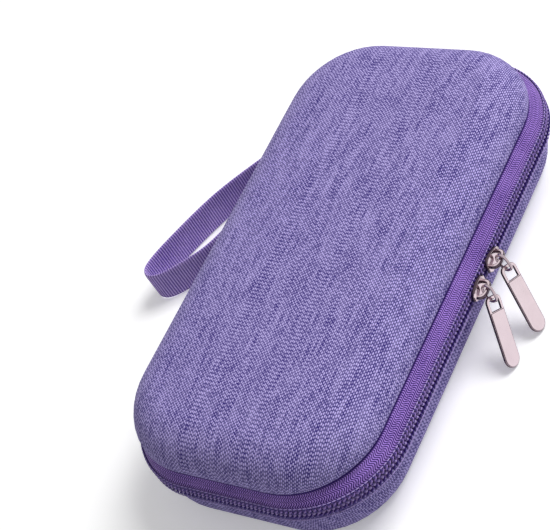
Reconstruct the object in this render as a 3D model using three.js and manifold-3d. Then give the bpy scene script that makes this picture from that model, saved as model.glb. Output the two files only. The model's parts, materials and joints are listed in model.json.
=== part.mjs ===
// Soft cooling case for insulin pens and vials: two foam shells covered in fabric and lined with foil.
// They close with a zip round three sides and fold open on a spine. Each half holds a gel ice pack behind a
// pocket panel. Millimetres, Z up. The base rests on z = 0. X runs along the case, the zip sliders are on the
// -Y side and the spine is on the +Y side.

import * as THREE from "three";
import { mergeVertices } from "three/addons/utils/BufferGeometryUtils.js";
import Module from "manifold-3d";

const wasm = await Module();
wasm.setup();

// Shells, measured over the outside of their rims
const SEAM_LENGTH = 197;
const SEAM_WIDTH = 102;
const SEAM_CORNER_RADIUS = 32;
const WALL = 3.6; // foam with its fabric cover
const BASE_HEIGHT = 16.3; // floor to rim
const BASE_EDGE_RUN = 9.5; // how far the rounded lower edge reaches in from the wall
const BASE_EDGE_RISE = 9.5;
const LID_HEIGHT = 14.3; // rim to shoulder
const LID_EDGE_RUN = 17;
const LID_EDGE_RISE = 13.3;
const LID_CROWN = 1; // extra height in the middle of the lid

// Fits
const GAP = 0.3; // between pieces that touch or are sewn together
const EDGE_TUCK = 0.2; // linings and panels end this far below the rim

// Zip round three sides
const ZIP_BAND = 15.4; // base rim to lid rim
const ZIP_FLARE = 4; // how far the coil stands out from the rims, along the front
const ZIP_END_FLARE = 2; // the same at the two ends
const TAPE_THICKNESS = 0.8;
const TAPE_TUCK = 1.2; // the tape's sewn edge lies this far inside the rim
const TAPE_FOOT = 1.1; // height at which the tape starts to flare
const COIL_DEPTH = 2.4;
const COIL_HEIGHT = 2.3;
const COIL_SPACE = 1.4; // between the two coils, for the sliders' web
const STOP_LENGTH = 3.5; // end stops beside the spine
const STOP_EXTRA = 0.4; // stop over coil, on each side
const BINDING_THICKNESS = 0.7;
const BINDING_LAP = 2.2; // binding past the wall's inside, over the panel's sewn edge
const BINDING_REACH = 0.62; // share of the tape's slope that the binding covers

// Linings, panels and pockets
const LINING = 0.6;
const PANEL_THICKNESS = 1.4;
const POCKET_MOUTH = 20; // outside of the rim to the mouth edge of the ice pocket
const SEW_MARGIN = 1.6; // pockets and bands end this far inside the panel's edge
const FIRST_POCKET_SETBACK = 19; // ice pocket mouth to the first mesh pocket
const MESH_POCKET_LENGTH = 57;
const POCKET_SPACING = 13; // between the two mesh pockets
const HEM_WIDTH = 10.7;
const HEM_THICKNESS = 1.4;
const MESH_THICKNESS = 0.8;
const BAND_SETBACK = 23; // ice pocket mouth to the first elastic band
const BAND_WIDTH = 26.5;
const BAND_SPACING = 54; // between the two bands
const BAND_THICKNESS = 1.2;
const SLACK = 2.2; // how far hems and bands stand off in the middle

// Gel ice packs
const PACK_SIDE_ROOM = 8; // lining to pack, on each side
const PACK_END_ROOM = 5; // lining to pack at the closed end
const PACK_MOUTH_ROOM = 6.5; // pack to the mouth edge
const PACK_FLANGE = 5; // width of the welded rim
const PACK_FLANGE_THICKNESS = 0.8;
const PACK_SHOULDER = 9; // how far the rounded shoulder reaches in from the flange

// Spine
const SPINE_THICKNESS = 1;
const SPINE_STAND_OUT = 0.5; // outer face past the rims

// Sliders and pulls
const SLIDER_A_X = -1;
const SLIDER_B_X = 12.5;
const SLIDER_LENGTH = 10;
const SLIDER_WIDTH = 7.2;
const SLIDER_TAIL_WIDTH = 5.2;
const SLIDER_PLATE = 1.3;
const SLIDER_WEB_LENGTH = 3.6;
const INNER_PLATE_LENGTH = 8.4;
const INNER_PLATE_WIDTH = 5.6;
const BAIL_LENGTH = 8.4;
const BAIL_RISE = 3.2; // plate to the middle of the bail's bar
const BAIL_BAR = 1.3;
const BAIL_WIDTH = 1.6;
const LINK_PITCH = 3.2; // bail bar to tab bar
const LINK_WIRE = 1.1;
const LINK_THICKNESS = 1.2;
const LINK_INSIDE_WIDTH = 3.2;
const LINK_PLAY = 0.55; // between a bar and the end of the link
const TAB_LENGTH = 26.4; // tab bar to the rounded end
const TAB_WIDTH = 7.6;
const TAB_THICKNESS = 1.3;
const TAB_BAR = 1.3;
const TAB_HEAD_RADIUS = 2.4;
const WINDOW_WIDTH = 5;
const WINDOW_LENGTH = 4.2;
const PULL_A_LEAN = 21; // degrees out from hanging
const PULL_A_SWING = 34; // degrees towards -X, shared by link and tab
const PULL_B_LEAN = 29.5;
const PULL_B_SWING = 27;

// Wrist strap of flat webbing, standing on edge
const STRAP_WIDTH = 15;
const STRAP_THICKNESS = 1.3;
const STRAP_LIFT = 0.5;
const STRAP_STEPS = 76;
const ANCHOR_ANGLE = 26.5; // degrees round the rear corner from the spine
const ANCHOR_LENGTH = 12;
const ANCHOR_HEIGHT = 13.6;
const ANCHOR_THICKNESS = 1.4;
// The strap's free stretch in plan, from the outer end of the root round the tip to the inner end
const STRAP_ROUTE = [
  [66, 60.2],
  [56, 67.6],
  [33, 82.5],
  [9, 92.6],
  [-5, 96.6],
  [-10.2, 94.6],
  [-10, 89.4],
  [-4, 82.4],
  [7, 73.4],
  [22, 67.4],
  [40, 63.6],
  [58, 59.2],
];

// Counts of facets
const CORNER_STEPS = 8;
const EDGE_STEPS = 5;
const CROWN_STEPS = 3;
const ROUND_STEPS = 12;
const ARC_STEPS = 6; // for each arc of a link or tab
const ARCH_STEPS = 4; // for each curve of a bail
const SHEET_STEPS = [3, 8]; // along and across a bowed sheet

// Limits of the geometry
const MERGE_DISTANCE = 1e-4; // points closer than this are one
const MITRE_LIMIT = 0.5; // keeps the corners of a bent strip from running out to a spike

// Places that follow from the sizes
const seamX = SEAM_LENGTH / 2;
const seamY = SEAM_WIDTH / 2;
const cornerX = seamX - SEAM_CORNER_RADIUS;
const cornerY = seamY - SEAM_CORNER_RADIUS;
const lidRim = BASE_HEIGHT + ZIP_BAND;
const coilPlane = BASE_HEIGHT + ZIP_BAND / 2;
const coilOuterHeight = (ZIP_BAND - COIL_SPACE) / 2;
const tapeTop = coilOuterHeight - COIL_HEIGHT - GAP - TAPE_THICKNESS / 2;
const liningOffset = WALL + GAP;
const panelInset = liningOffset + LINING + GAP;
const mouthX = seamX - POCKET_MOUTH;
const degrees = THREE.MathUtils.degToRad;

const part = new THREE.Group();

// Adds a named piece with its own material to a group.
function addPiece(name, geometry, finish, group = part) {
  const mesh = new THREE.Mesh(geometry, new THREE.MeshStandardMaterial(finish));
  mesh.name = name;
  group.add(mesh);
  return mesh;
}

const heather = { color: 0x6f62a8, roughness: 0.95, metalness: 0 };
const zipTape = { color: 0x7a4fc4, roughness: 0.85, metalness: 0 };
const zipCoil = { color: 0x3d2a86, roughness: 0.45, metalness: 0 };
const grosgrain = { color: 0x6a4bb0, roughness: 0.85, metalness: 0 };
const foil = { color: 0xc4c8cc, roughness: 0.35, metalness: 0.8 };
const greyElastic = { color: 0x9a9ca0, roughness: 0.9, metalness: 0 };
const greyMesh = { color: 0xc9cacc, roughness: 0.9, metalness: 0 };
const gelBlue = { color: 0x2f7fd0, roughness: 0.3, metalness: 0 };
const roseSilver = { color: 0xd9c4c8, roughness: 0.2, metalness: 1 };

// Outline of the case in plan, a given distance in from the outside of the rims, counter-clockwise.
function planRing(inset) {
  const radius = SEAM_CORNER_RADIUS - inset;
  const corners = [
    [1, 1],
    [-1, 1],
    [-1, -1],
    [1, -1],
  ];
  return corners.flatMap(([sx, sy], corner) =>
    Array.from({ length: CORNER_STEPS + 1 }, (_, step) => {
      const angle = (corner + step / CORNER_STEPS) * (Math.PI / 2);
      return new THREE.Vector2(
        sx * cornerX + radius * Math.cos(angle),
        sy * cornerY + radius * Math.sin(angle),
      );
    }),
  );
}

// Closed surface through rings of equal length. Each flat outline is its end ring drawn counter-clockwise.
function loft(rings, flatFirst, flatLast) {
  const count = rings[0].length;
  const last = (rings.length - 1) * count;
  const index = [];
  for (let start = 0; start < last; start += count) {
    for (let i = 0; i < count; i++) {
      const a = start + i;
      const b = start + ((i + 1) % count);
      index.push(a, b, b + count, a, b + count, a + count);
    }
  }
  for (const [a, b, c] of THREE.ShapeUtils.triangulateShape(flatFirst, [])) {
    index.push(c, b, a);
  }
  for (const [a, b, c] of THREE.ShapeUtils.triangulateShape(flatLast, [])) {
    index.push(last + a, last + b, last + c);
  }
  const positions = rings.flat().flatMap((point) => point.toArray());
  const geometry = new THREE.BufferGeometry();
  geometry.setAttribute("position", new THREE.Float32BufferAttribute(positions, 3));
  geometry.setIndex(index);
  return geometry;
}

// A geometry as a solid that can be joined and cut.
function solid(geometry) {
  const bare = geometry.clone();
  bare.deleteAttribute("normal");
  bare.deleteAttribute("uv");
  const merged = mergeVertices(bare, MERGE_DISTANCE);
  return new wasm.Manifold(
    new wasm.Mesh({
      numProp: 3,
      vertProperties: new Float32Array(merged.attributes.position.array),
      triVerts: new Uint32Array(merged.index.array),
    }),
  );
}

// A solid as a geometry again.
function surface(body) {
  const mesh = body.getMesh();
  const geometry = new THREE.BufferGeometry();
  geometry.setAttribute("position", new THREE.BufferAttribute(mesh.vertProperties, 3));
  geometry.setIndex(new THREE.BufferAttribute(mesh.triVerts, 1));
  return geometry;
}

// Points down one skin of a shell, from its cap to its rim: distance in from the wall, and depth from the rim.
function skin(shape, offset, rimDepth) {
  const run = shape.run - offset;
  const rise = shape.rise - offset;
  const depth = shape.height - offset;
  const points = Array.from({ length: EDGE_STEPS + 1 }, (_, step) => {
    const angle = (step / EDGE_STEPS) * (Math.PI / 2);
    return [offset + run * (1 - Math.sin(angle)), depth - rise * (1 - Math.cos(angle))];
  });
  return [...points, [offset, rimDepth]];
}

// Extra rings from the middle of a crowned cap out to the start of its rounded edge.
function crown(shape) {
  const innermost = SEAM_CORNER_RADIUS - 2 * GAP;
  return Array.from({ length: CROWN_STEPS }, (_, step) => {
    const share = 1 - step / CROWN_STEPS;
    const inset = shape.run + (innermost - shape.run) * share;
    return [inset, shape.height + shape.crown * Math.sin((share * Math.PI) / 2)];
  });
}

// Open box between two skins. The base opens upwards and the lid downwards.
function tray(outer, inner, rimZ, opensUp) {
  const order = opensUp ? [...outer, ...inner.toReversed()] : [...inner, ...outer.toReversed()];
  const turn = opensUp ? -1 : 1;
  const rings = order.map(([inset, depth]) =>
    planRing(inset).map((p) => new THREE.Vector3(p.x, p.y, rimZ + turn * depth)),
  );
  return loft(rings, planRing(order[0][0]), planRing(order.at(-1)[0]));
}

// Flat sheet with the case's plan outline, between two heights.
function planSheet(inset, low, high) {
  const sheet = new THREE.ExtrudeGeometry(new THREE.Shape(planRing(inset)), {
    depth: high - low,
    bevelEnabled: false,
  });
  return sheet.translate(0, 0, low);
}

// Thin rectangle that bows away from its panel, between two places along X.
function bowedSheet(lowX, highX, halfWidth, bottom, thickness, bow) {
  const length = highX - lowX;
  const sheet = new THREE.BoxGeometry(length, 2 * halfWidth, thickness, ...SHEET_STEPS);
  sheet.translate((lowX + highX) / 2, 0, bottom + thickness / 2);
  const places = sheet.attributes.position;
  for (let i = 0; i < places.count; i++) {
    const across = places.getY(i) / halfWidth;
    const along = (places.getX(i) - lowX) / length;
    places.setZ(i, places.getZ(i) + bow(along) * (1 - across * across));
  }
  return sheet;
}

// How far the coil stands out: nothing at the spine, some at the ends and most along the front
function zipFlare(fromSpine) {
  const atEnd = THREE.MathUtils.smoothstep(fromSpine, 0, 90);
  const atFront = THREE.MathUtils.smoothstep(fromSpine, 90, 180);
  return ZIP_END_FLARE * atEnd + (ZIP_FLARE - ZIP_END_FLARE) * atFront;
}

// Stations along the zip, from the -X end of the spine round to its +X end. Progress counts 90 for each corner.
function zipPath(from, to) {
  const corners = [
    [-1, 1],
    [-1, -1],
    [1, -1],
    [1, 1],
  ];
  const stations = [];
  corners.forEach(([sx, sy], corner) => {
    const low = Math.max(from, corner * 90);
    const high = Math.min(to, (corner + 1) * 90);
    if (high <= low) return;
    const steps = Math.max(1, Math.round(((high - low) / 90) * CORNER_STEPS));
    for (let step = 0; step <= steps; step++) {
      const progress = low + ((high - low) * step) / steps;
      const angle = degrees(90 + progress);
      const normal = new THREE.Vector2(Math.cos(angle), Math.sin(angle));
      const fromSpine = Math.min(progress, 360 - progress);
      stations.push({
        point: new THREE.Vector2(sx * cornerX, sy * cornerY).addScaledVector(normal, SEAM_CORNER_RADIUS),
        normal,
        flare: zipFlare(fromSpine),
      });
    }
  });
  return stations;
}

// Band along the zip. Its section gives points as distances out from the rim's outside and past the rim.
function zipBand(stations, sectionAt, rimZ, side) {
  const rings = [];
  const flats = [];
  for (const { point, normal, flare } of stations) {
    const section = sectionAt(flare);
    const turned = side > 0 ? section.toReversed() : section;
    rings.push(
      turned.map(([out, past]) => {
        const place = point.clone().addScaledVector(normal, out);
        return new THREE.Vector3(place.x, place.y, rimZ + side * past);
      }),
    );
    flats.push(turned.map(([out, past]) => new THREE.Vector2(-out, side * past)));
  }
  return loft(rings, flats[0], flats.at(-1));
}

// Outline of a strip of even thickness along a bent line, counter-clockwise where the line runs outwards.
function stripOutline(line, thickness) {
  const half = thickness / 2;
  const points = line.map(([x, y]) => new THREE.Vector2(x, y));
  const sides = points.map((point, i) => {
    const before = points[Math.max(i - 1, 0)];
    const after = points[Math.min(i + 1, points.length - 1)];
    const into = (i > 0 ? point.clone().sub(before) : after.clone().sub(point)).normalize();
    const out = (i < points.length - 1 ? after.clone().sub(point) : into.clone()).normalize();
    const mean = into.clone().add(out).normalize();
    const reach = half / Math.max(mean.dot(out), MITRE_LIMIT);
    const normal = new THREE.Vector2(-mean.y, mean.x);
    return [point.clone().addScaledVector(normal, -reach), point.clone().addScaledVector(normal, reach)];
  });
  const right = sides.map((side) => side[0]);
  const left = sides.map((side) => side[1]);
  return [...right, ...left.toReversed()].map((p) => [p.x, p.y]);
}

// The tape's middle line: a sewn foot and a slope that flares out to the coil.
function tapeLine(flare) {
  return [
    [-TAPE_TUCK, GAP],
    [-TAPE_TUCK + GAP, TAPE_FOOT],
    [flare - GAP, tapeTop],
  ];
}

// The tape's outline round that line.
function tapeSection(flare) {
  return stripOutline(tapeLine(flare), TAPE_THICKNESS);
}

// Flat on the rim over the panel's sewn edge, then up the inside of the tape.
function bindingSection(flare) {
  const [, foot, top] = tapeLine(flare).map(([x, y]) => new THREE.Vector2(x, y));
  const slope = top.clone().sub(foot);
  const away = (TAPE_THICKNESS + BINDING_THICKNESS) / 2 + GAP;
  const inward = new THREE.Vector2(-slope.y, slope.x).setLength(away);
  const end = foot.clone().addScaledVector(slope, BINDING_REACH).add(inward);
  const low = GAP + BINDING_THICKNESS / 2;
  const line = [
    [-WALL - BINDING_LAP, low],
    [-TAPE_TUCK - TAPE_THICKNESS - BINDING_THICKNESS - GAP, low],
    [end.x, end.y],
  ];
  return stripOutline(line, BINDING_THICKNESS);
}

// Coil as a ridge with a rounded outside.
function coilSection(flare, extra = 0) {
  const half = COIL_DEPTH / 2 + extra;
  const low = coilOuterHeight - COIL_HEIGHT;
  const round = COIL_HEIGHT / 4;
  return [
    [flare - half, low],
    [flare + half - round, low],
    [flare + half, low + round],
    [flare + half, coilOuterHeight - round],
    [flare + half - round, coilOuterHeight],
    [flare - half, coilOuterHeight],
  ];
}

const baseShape = { height: BASE_HEIGHT, run: BASE_EDGE_RUN, rise: BASE_EDGE_RISE };
const lidShape = { height: LID_HEIGHT, run: LID_EDGE_RUN, rise: LID_EDGE_RISE, crown: LID_CROWN };

// Shells and their foil linings
function addShells() {
  addPiece(
    "base_shell",
    tray(skin(baseShape, 0, 0), skin(baseShape, WALL, 0), BASE_HEIGHT, true),
    heather,
  );
  addPiece(
    "lid_shell",
    tray([...crown(lidShape), ...skin(lidShape, 0, 0)], skin(lidShape, WALL, 0), lidRim, false),
    heather,
  );
  const halves = [
    ["base_foil_lining", baseShape, BASE_HEIGHT, true],
    ["lid_foil_lining", lidShape, lidRim, false],
  ];
  for (const [name, shape, rimZ, opensUp] of halves) {
    const outer = skin(shape, liningOffset, EDGE_TUCK);
    const inner = skin(shape, liningOffset + LINING, EDGE_TUCK);
    addPiece(name, tray(outer, inner, rimZ, opensUp), foil);
  }
}

// Tapes, coils, inside bindings and the end stops beside the spine
function addZip() {
  const whole = zipPath(0, 360);
  const stopAngle = THREE.MathUtils.radToDeg(STOP_LENGTH / SEAM_CORNER_RADIUS);
  const gapAngle = THREE.MathUtils.radToDeg(GAP / SEAM_CORNER_RADIUS);
  const toothed = zipPath(stopAngle, 360 - stopAngle);
  const halves = [
    ["base", BASE_HEIGHT, 1],
    ["lid", lidRim, -1],
  ];
  for (const [half, rimZ, side] of halves) {
    addPiece(half + "_zip_tape", zipBand(whole, tapeSection, rimZ, side), zipTape);
    addPiece(half + "_zip_coil", zipBand(toothed, (flare) => coilSection(flare), rimZ, side), zipCoil);
    addPiece(half + "_edge_binding", zipBand(whole, bindingSection, rimZ, side), grosgrain);
  }
  const stops = [
    ["zip_end_stop_near", zipPath(0, stopAngle - gapAngle)],
    ["zip_end_stop_far", zipPath(360 - stopAngle + gapAngle, 360)],
  ];
  for (const [name, stations] of stops) {
    const section = (flare) => coilSection(flare, STOP_EXTRA);
    addPiece(name, zipBand(stations, section, BASE_HEIGHT, 1), roseSilver);
  }
}

// Panels that close the ice pockets up to their mouths
function addPanels() {
  const beyond = new THREE.BoxGeometry(2 * POCKET_MOUTH, 2 * SEAM_WIDTH, 4 * lidRim);
  const mouth = solid(beyond.translate(mouthX + POCKET_MOUTH, 0, 0));
  const baseTop = BASE_HEIGHT - EDGE_TUCK;
  const lidBottom = lidRim + EDGE_TUCK;
  const panels = [
    ["base_ice_pocket_panel", baseTop - PANEL_THICKNESS, baseTop],
    ["lid_ice_pocket_panel", lidBottom, lidBottom + PANEL_THICKNESS],
  ];
  for (const [name, low, high] of panels) {
    addPiece(name, surface(solid(planSheet(panelInset, low, high)).subtract(mouth)), foil);
  }
}

// Mesh pockets with elastic hems on the lid's panel
function addMeshPockets() {
  const inset = panelInset + SEW_MARGIN;
  const halfWidth = seamY - inset;
  const top = lidRim + EDGE_TUCK - GAP;
  const within = solid(planSheet(inset, 0, 2 * lidRim));
  let highX = mouthX - FIRST_POCKET_SETBACK;
  for (const place of ["upper", "lower"]) {
    const seamAt = highX - HEM_WIDTH;
    const lowX = seamAt - GAP - MESH_POCKET_LENGTH;
    const hem = bowedSheet(seamAt, highX, halfWidth, top - HEM_THICKNESS, HEM_THICKNESS, () => -SLACK);
    const mesh = bowedSheet(
      lowX,
      seamAt - GAP,
      halfWidth,
      top - MESH_THICKNESS,
      MESH_THICKNESS,
      (along) => -SLACK * along,
    );
    addPiece("lid_pocket_elastic_" + place, hem, greyElastic);
    addPiece("lid_mesh_pocket_" + place, surface(solid(mesh).intersect(within)), greyMesh);
    highX = lowX - POCKET_SPACING;
  }
}

// Elastic bands across the base's panel
function addElasticBands() {
  const halfWidth = seamY - panelInset - SEW_MARGIN;
  const bottom = BASE_HEIGHT - EDGE_TUCK + GAP;
  let highX = mouthX - BAND_SETBACK;
  for (const place of ["upper", "lower"]) {
    const band = bowedSheet(highX - BAND_WIDTH, highX, halfWidth, bottom, BAND_THICKNESS, () => SLACK);
    addPiece("base_elastic_band_" + place, band, greyElastic);
    highX -= BAND_WIDTH + BAND_SPACING;
  }
}

// Outline of an ice pack with round ends, a given distance in from its edge, counter-clockwise.
function packRing(lowX, highX, halfWidth, inset) {
  const radius = halfWidth - inset;
  const ends = [
    [highX - halfWidth, -Math.PI / 2],
    [lowX + halfWidth, Math.PI / 2],
  ];
  return ends.flatMap(([centre, start]) =>
    Array.from({ length: ROUND_STEPS + 1 }, (_, step) => {
      const angle = start + (step / ROUND_STEPS) * Math.PI;
      return new THREE.Vector2(centre + radius * Math.cos(angle), radius * Math.sin(angle));
    }),
  );
}

// Filled pouch with a welded flange round it
function icePack(lowX, highX, halfWidth, middle, thickness) {
  const flange = PACK_FLANGE_THICKNESS / 2;
  const swell = thickness / 2 - flange;
  const shoulder = Array.from({ length: EDGE_STEPS + 1 }, (_, step) => {
    const angle = (step / EDGE_STEPS) * (Math.PI / 2);
    return [PACK_FLANGE + PACK_SHOULDER * (1 - Math.cos(angle)), flange + swell * Math.sin(angle)];
  });
  const above = [[0, flange], ...shoulder];
  const below = above.toReversed().map(([inset, height]) => [inset, -height]);
  const rings = [...below, ...above].map(([inset, height]) =>
    packRing(lowX, highX, halfWidth, inset).map((p) => new THREE.Vector3(p.x, p.y, middle + height)),
  );
  const cap = packRing(lowX, highX, halfWidth, above.at(-1)[0]);
  return loft(rings, cap, cap);
}

// One pack in each half, as thick as the shallower pocket lets it be
function addIcePacks() {
  const stack = liningOffset + LINING;
  const panelBack = EDGE_TUCK + PANEL_THICKNESS;
  const room = Math.min(BASE_HEIGHT, LID_HEIGHT) - stack - panelBack;
  const thickness = room - 2 * GAP;
  const halfWidth = seamY - stack - PACK_SIDE_ROOM;
  const lowX = -seamX + stack + PACK_END_ROOM;
  const highX = mouthX - PACK_MOUTH_ROOM;
  const baseMiddle = stack + GAP + thickness / 2;
  const lidMiddle = lidRim + panelBack + GAP + thickness / 2;
  addPiece("base_ice_pack", icePack(lowX, highX, halfWidth, baseMiddle, thickness), gelBlue);
  addPiece("lid_ice_pack", icePack(lowX, highX, halfWidth, lidMiddle, thickness), gelBlue);
}

// Fabric spine and its foil lining
function addSpine() {
  const length = 2 * (cornerX - GAP);
  const height = ZIP_BAND - 2 * GAP;
  const outside = seamY + SPINE_STAND_OUT;
  const fabric = new THREE.BoxGeometry(length, SPINE_THICKNESS, height);
  addPiece("spine_outer_fabric", fabric.translate(0, outside - SPINE_THICKNESS / 2, coilPlane), heather);
  const lining = new THREE.BoxGeometry(length, LINING, height);
  const liningY = outside - SPINE_THICKNESS - GAP - LINING / 2;
  addPiece("spine_foil_lining", lining.translate(0, liningY, coilPlane), foil);
}

// Adds an arch to a path, from one foot over the top to the other foot.
function archOutline(path, reach, top) {
  const bend = 0.7; // share of the way to the corner where each curve's handle lies
  const flat = 0.3; // share of the half length that stays straight
  if (path.curves.length) path.lineTo(reach, 0);
  else path.moveTo(reach, 0);
  path.bezierCurveTo(reach, top * bend, reach * bend, top, reach * flat, top);
  path.lineTo(-reach * flat, top);
  path.bezierCurveTo(-reach * bend, top, -reach, top * bend, -reach, 0);
  return path;
}

// Slider: two plates joined by a web between the coils, with an arched bail on the outer plate. Outwards is -Y.
function sliderBody(noseSide) {
  const nose = SLIDER_LENGTH / 2;
  const wide = SLIDER_WIDTH / 2;
  const tail = SLIDER_TAIL_WIDTH / 2;
  const outline = new THREE.Shape();
  outline.moveTo(-nose, -tail);
  outline.lineTo(0, -wide);
  outline.lineTo(nose - SLIDER_PLATE, -wide);
  outline.lineTo(nose, -wide + SLIDER_PLATE);
  outline.lineTo(nose, wide - SLIDER_PLATE);
  outline.lineTo(nose - SLIDER_PLATE, wide);
  outline.lineTo(0, wide);
  outline.lineTo(-nose, tail);
  outline.closePath();
  const plate = new THREE.ExtrudeGeometry(outline, { depth: SLIDER_PLATE, bevelEnabled: false });
  plate.rotateX(Math.PI / 2);

  const between = COIL_DEPTH + 2 * GAP;
  const web = new THREE.BoxGeometry(
    SLIDER_WEB_LENGTH,
    between + SLIDER_PLATE,
    COIL_SPACE - 2 * GAP,
  );
  web.translate(nose - SLIDER_WEB_LENGTH / 2 - SLIDER_PLATE, between / 2, 0);
  const inner = new THREE.BoxGeometry(INNER_PLATE_LENGTH, SLIDER_PLATE, INNER_PLATE_WIDTH);
  inner.translate(0, between + SLIDER_PLATE / 2, 0);

  const reach = BAIL_LENGTH / 2;
  const top = BAIL_RISE + BAIL_BAR / 2;
  const arch = archOutline(new THREE.Shape(), reach, top);
  archOutline(arch, BAIL_BAR - reach, top - BAIL_BAR);
  arch.closePath();
  const bail = new THREE.ExtrudeGeometry(arch, {
    depth: BAIL_WIDTH,
    bevelEnabled: false,
    curveSegments: ARCH_STEPS,
  });
  bail.translate(0, -GAP, -BAIL_WIDTH / 2).rotateX(Math.PI).translate(0, -SLIDER_PLATE, 0);

  const body = solid(plate).add(solid(web)).add(solid(inner)).add(solid(bail));
  const geometry = surface(body);
  return noseSide > 0 ? geometry : geometry.rotateY(Math.PI);
}

// Flat oval link. It hangs from the bail's bar at its own origin.
function linkRing() {
  const radius = LINK_INSIDE_WIDTH / 2;
  const inside = (BAIL_WIDTH + TAB_BAR) / 2 + LINK_PITCH + 2 * LINK_PLAY;
  const high = BAIL_WIDTH / 2 + LINK_PLAY;
  const oval = (path, grow) => {
    const r = radius + grow;
    path.absarc(0, high - radius, r, 0, Math.PI, false);
    path.absarc(0, high - inside + radius, r, Math.PI, 2 * Math.PI, false);
    path.closePath();
    return path;
  };
  const shape = oval(new THREE.Shape(), LINK_WIRE);
  shape.holes.push(oval(new THREE.Path(), 0));
  const ring = new THREE.ExtrudeGeometry(shape, {
    depth: LINK_THICKNESS,
    bevelEnabled: false,
    curveSegments: ARC_STEPS,
  });
  ring.translate(0, 0, -LINK_THICKNESS / 2);
  const alongYZ = new THREE.Matrix4().makeBasis(
    new THREE.Vector3(0, 1, 0),
    new THREE.Vector3(0, 0, 1),
    new THREE.Vector3(1, 0, 0),
  );
  return ring.applyMatrix4(alongYZ);
}

// Flat tab with a window under its bar and a round end. It hangs from the bar's middle at its own origin.
function pullTab() {
  const half = TAB_WIDTH / 2;
  const top = TAB_BAR / 2;
  const shape = new THREE.Shape();
  shape.absarc(0, half - TAB_LENGTH, half, Math.PI, 2 * Math.PI, false);
  shape.absarc(half - TAB_HEAD_RADIUS, top - TAB_HEAD_RADIUS, TAB_HEAD_RADIUS, 0, Math.PI / 2, false);
  shape.absarc(TAB_HEAD_RADIUS - half, top - TAB_HEAD_RADIUS, TAB_HEAD_RADIUS, Math.PI / 2, Math.PI, false);
  shape.closePath();
  const window = new THREE.Path();
  window.moveTo(-WINDOW_WIDTH / 2 + TAB_BAR / 2, -top);
  window.lineTo(WINDOW_WIDTH / 2 - TAB_BAR / 2, -top);
  window.lineTo(WINDOW_WIDTH / 2, -top - TAB_BAR / 2);
  window.lineTo(WINDOW_WIDTH / 2, -top - WINDOW_LENGTH);
  window.lineTo(-WINDOW_WIDTH / 2, -top - WINDOW_LENGTH);
  window.lineTo(-WINDOW_WIDTH / 2, -top - TAB_BAR / 2);
  window.closePath();
  shape.holes.push(window);
  const tab = new THREE.ExtrudeGeometry(shape, {
    depth: TAB_THICKNESS,
    bevelEnabled: false,
    curveSegments: ARC_STEPS,
  });
  return tab.translate(0, 0, -TAB_THICKNESS / 2).rotateX(Math.PI / 2);
}

// Two sliders that part to open the zip, each with its link and tab
function addSliders() {
  const outerFace = -seamY - ZIP_FLARE - COIL_DEPTH / 2 - GAP;
  const sliders = [
    ["a", SLIDER_A_X, 1, PULL_A_LEAN, PULL_A_SWING],
    ["b", SLIDER_B_X, -1, PULL_B_LEAN, PULL_B_SWING],
  ];
  for (const [name, x, noseSide, lean, swing] of sliders) {
    const slider = new THREE.Group();
    slider.position.set(x, outerFace, coilPlane);
    part.add(slider);
    addPiece("zip_slider_" + name, sliderBody(noseSide), roseSilver, slider);

    const link = new THREE.Group();
    link.position.y = -SLIDER_PLATE - BAIL_RISE + GAP;
    link.rotation.set(degrees(-lean), degrees(swing / 2), 0);
    slider.add(link);
    addPiece("pull_link_" + name, linkRing(), roseSilver, link);

    const tab = new THREE.Group();
    tab.position.z = -LINK_PITCH;
    tab.rotation.y = degrees(swing / 2);
    link.add(tab);
    addPiece("pull_tab_" + name, pullTab(), roseSilver, tab);
  }
}

// Sewn tab on the rear corner of the base, the stitched ends of the webbing on it and the free loop
function addWristStrap() {
  const halfAngle = THREE.MathUtils.radToDeg(ANCHOR_LENGTH / 2 / SEAM_CORNER_RADIUS);
  const progress = 360 - ANCHOR_ANGLE;
  const outside = GAP + ANCHOR_THICKNESS;
  const section = () => [
    [GAP, -ANCHOR_HEIGHT - GAP],
    [outside, -ANCHOR_HEIGHT - GAP],
    [outside, -GAP],
    [GAP, -GAP],
  ];
  const stations = zipPath(progress - halfAngle, progress + halfAngle);
  addPiece("strap_anchor_tab", zipBand(stations, section, BASE_HEIGHT, 1), grosgrain);

  const layers = 2 * STRAP_THICKNESS + GAP;
  const root = new THREE.Group();
  root.position.set(cornerX, cornerY, STRAP_LIFT + STRAP_WIDTH / 2);
  root.rotation.z = -degrees(ANCHOR_ANGLE);
  part.add(root);
  const sewn = new THREE.BoxGeometry(ANCHOR_LENGTH, layers, STRAP_WIDTH);
  sewn.translate(0, SEAM_CORNER_RADIUS + outside + GAP + layers / 2, 0);
  addPiece("strap_sewn_end", sewn, grosgrain, root);

  const outwards = new THREE.Vector2(Math.sin(degrees(ANCHOR_ANGLE)), Math.cos(degrees(ANCHOR_ANGLE)));
  const along = new THREE.Vector2(-outwards.y, outwards.x);
  const innerLayer = SEAM_CORNER_RADIUS + outside + GAP + STRAP_THICKNESS / 2;
  const rootEnd = (layer) =>
    new THREE.Vector2(cornerX, cornerY)
      .addScaledVector(outwards, innerLayer + layer * (STRAP_THICKNESS + GAP))
      .addScaledVector(along, ANCHOR_LENGTH / 2 + GAP);
  const route = [rootEnd(1), ...STRAP_ROUTE.map(([x, y]) => new THREE.Vector2(x, y)), rootEnd(0)];
  const line = new THREE.SplineCurve(route).getSpacedPoints(STRAP_STEPS);
  const outline = stripOutline(
    line.map((p) => [p.x, p.y]),
    STRAP_THICKNESS,
  );
  const loop = new THREE.Shape(outline.map(([x, y]) => new THREE.Vector2(x, y)));
  const strap = new THREE.ExtrudeGeometry(loop, { depth: STRAP_WIDTH, bevelEnabled: false });
  addPiece("wrist_strap", strap.translate(0, 0, STRAP_LIFT), grosgrain);
}

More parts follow.
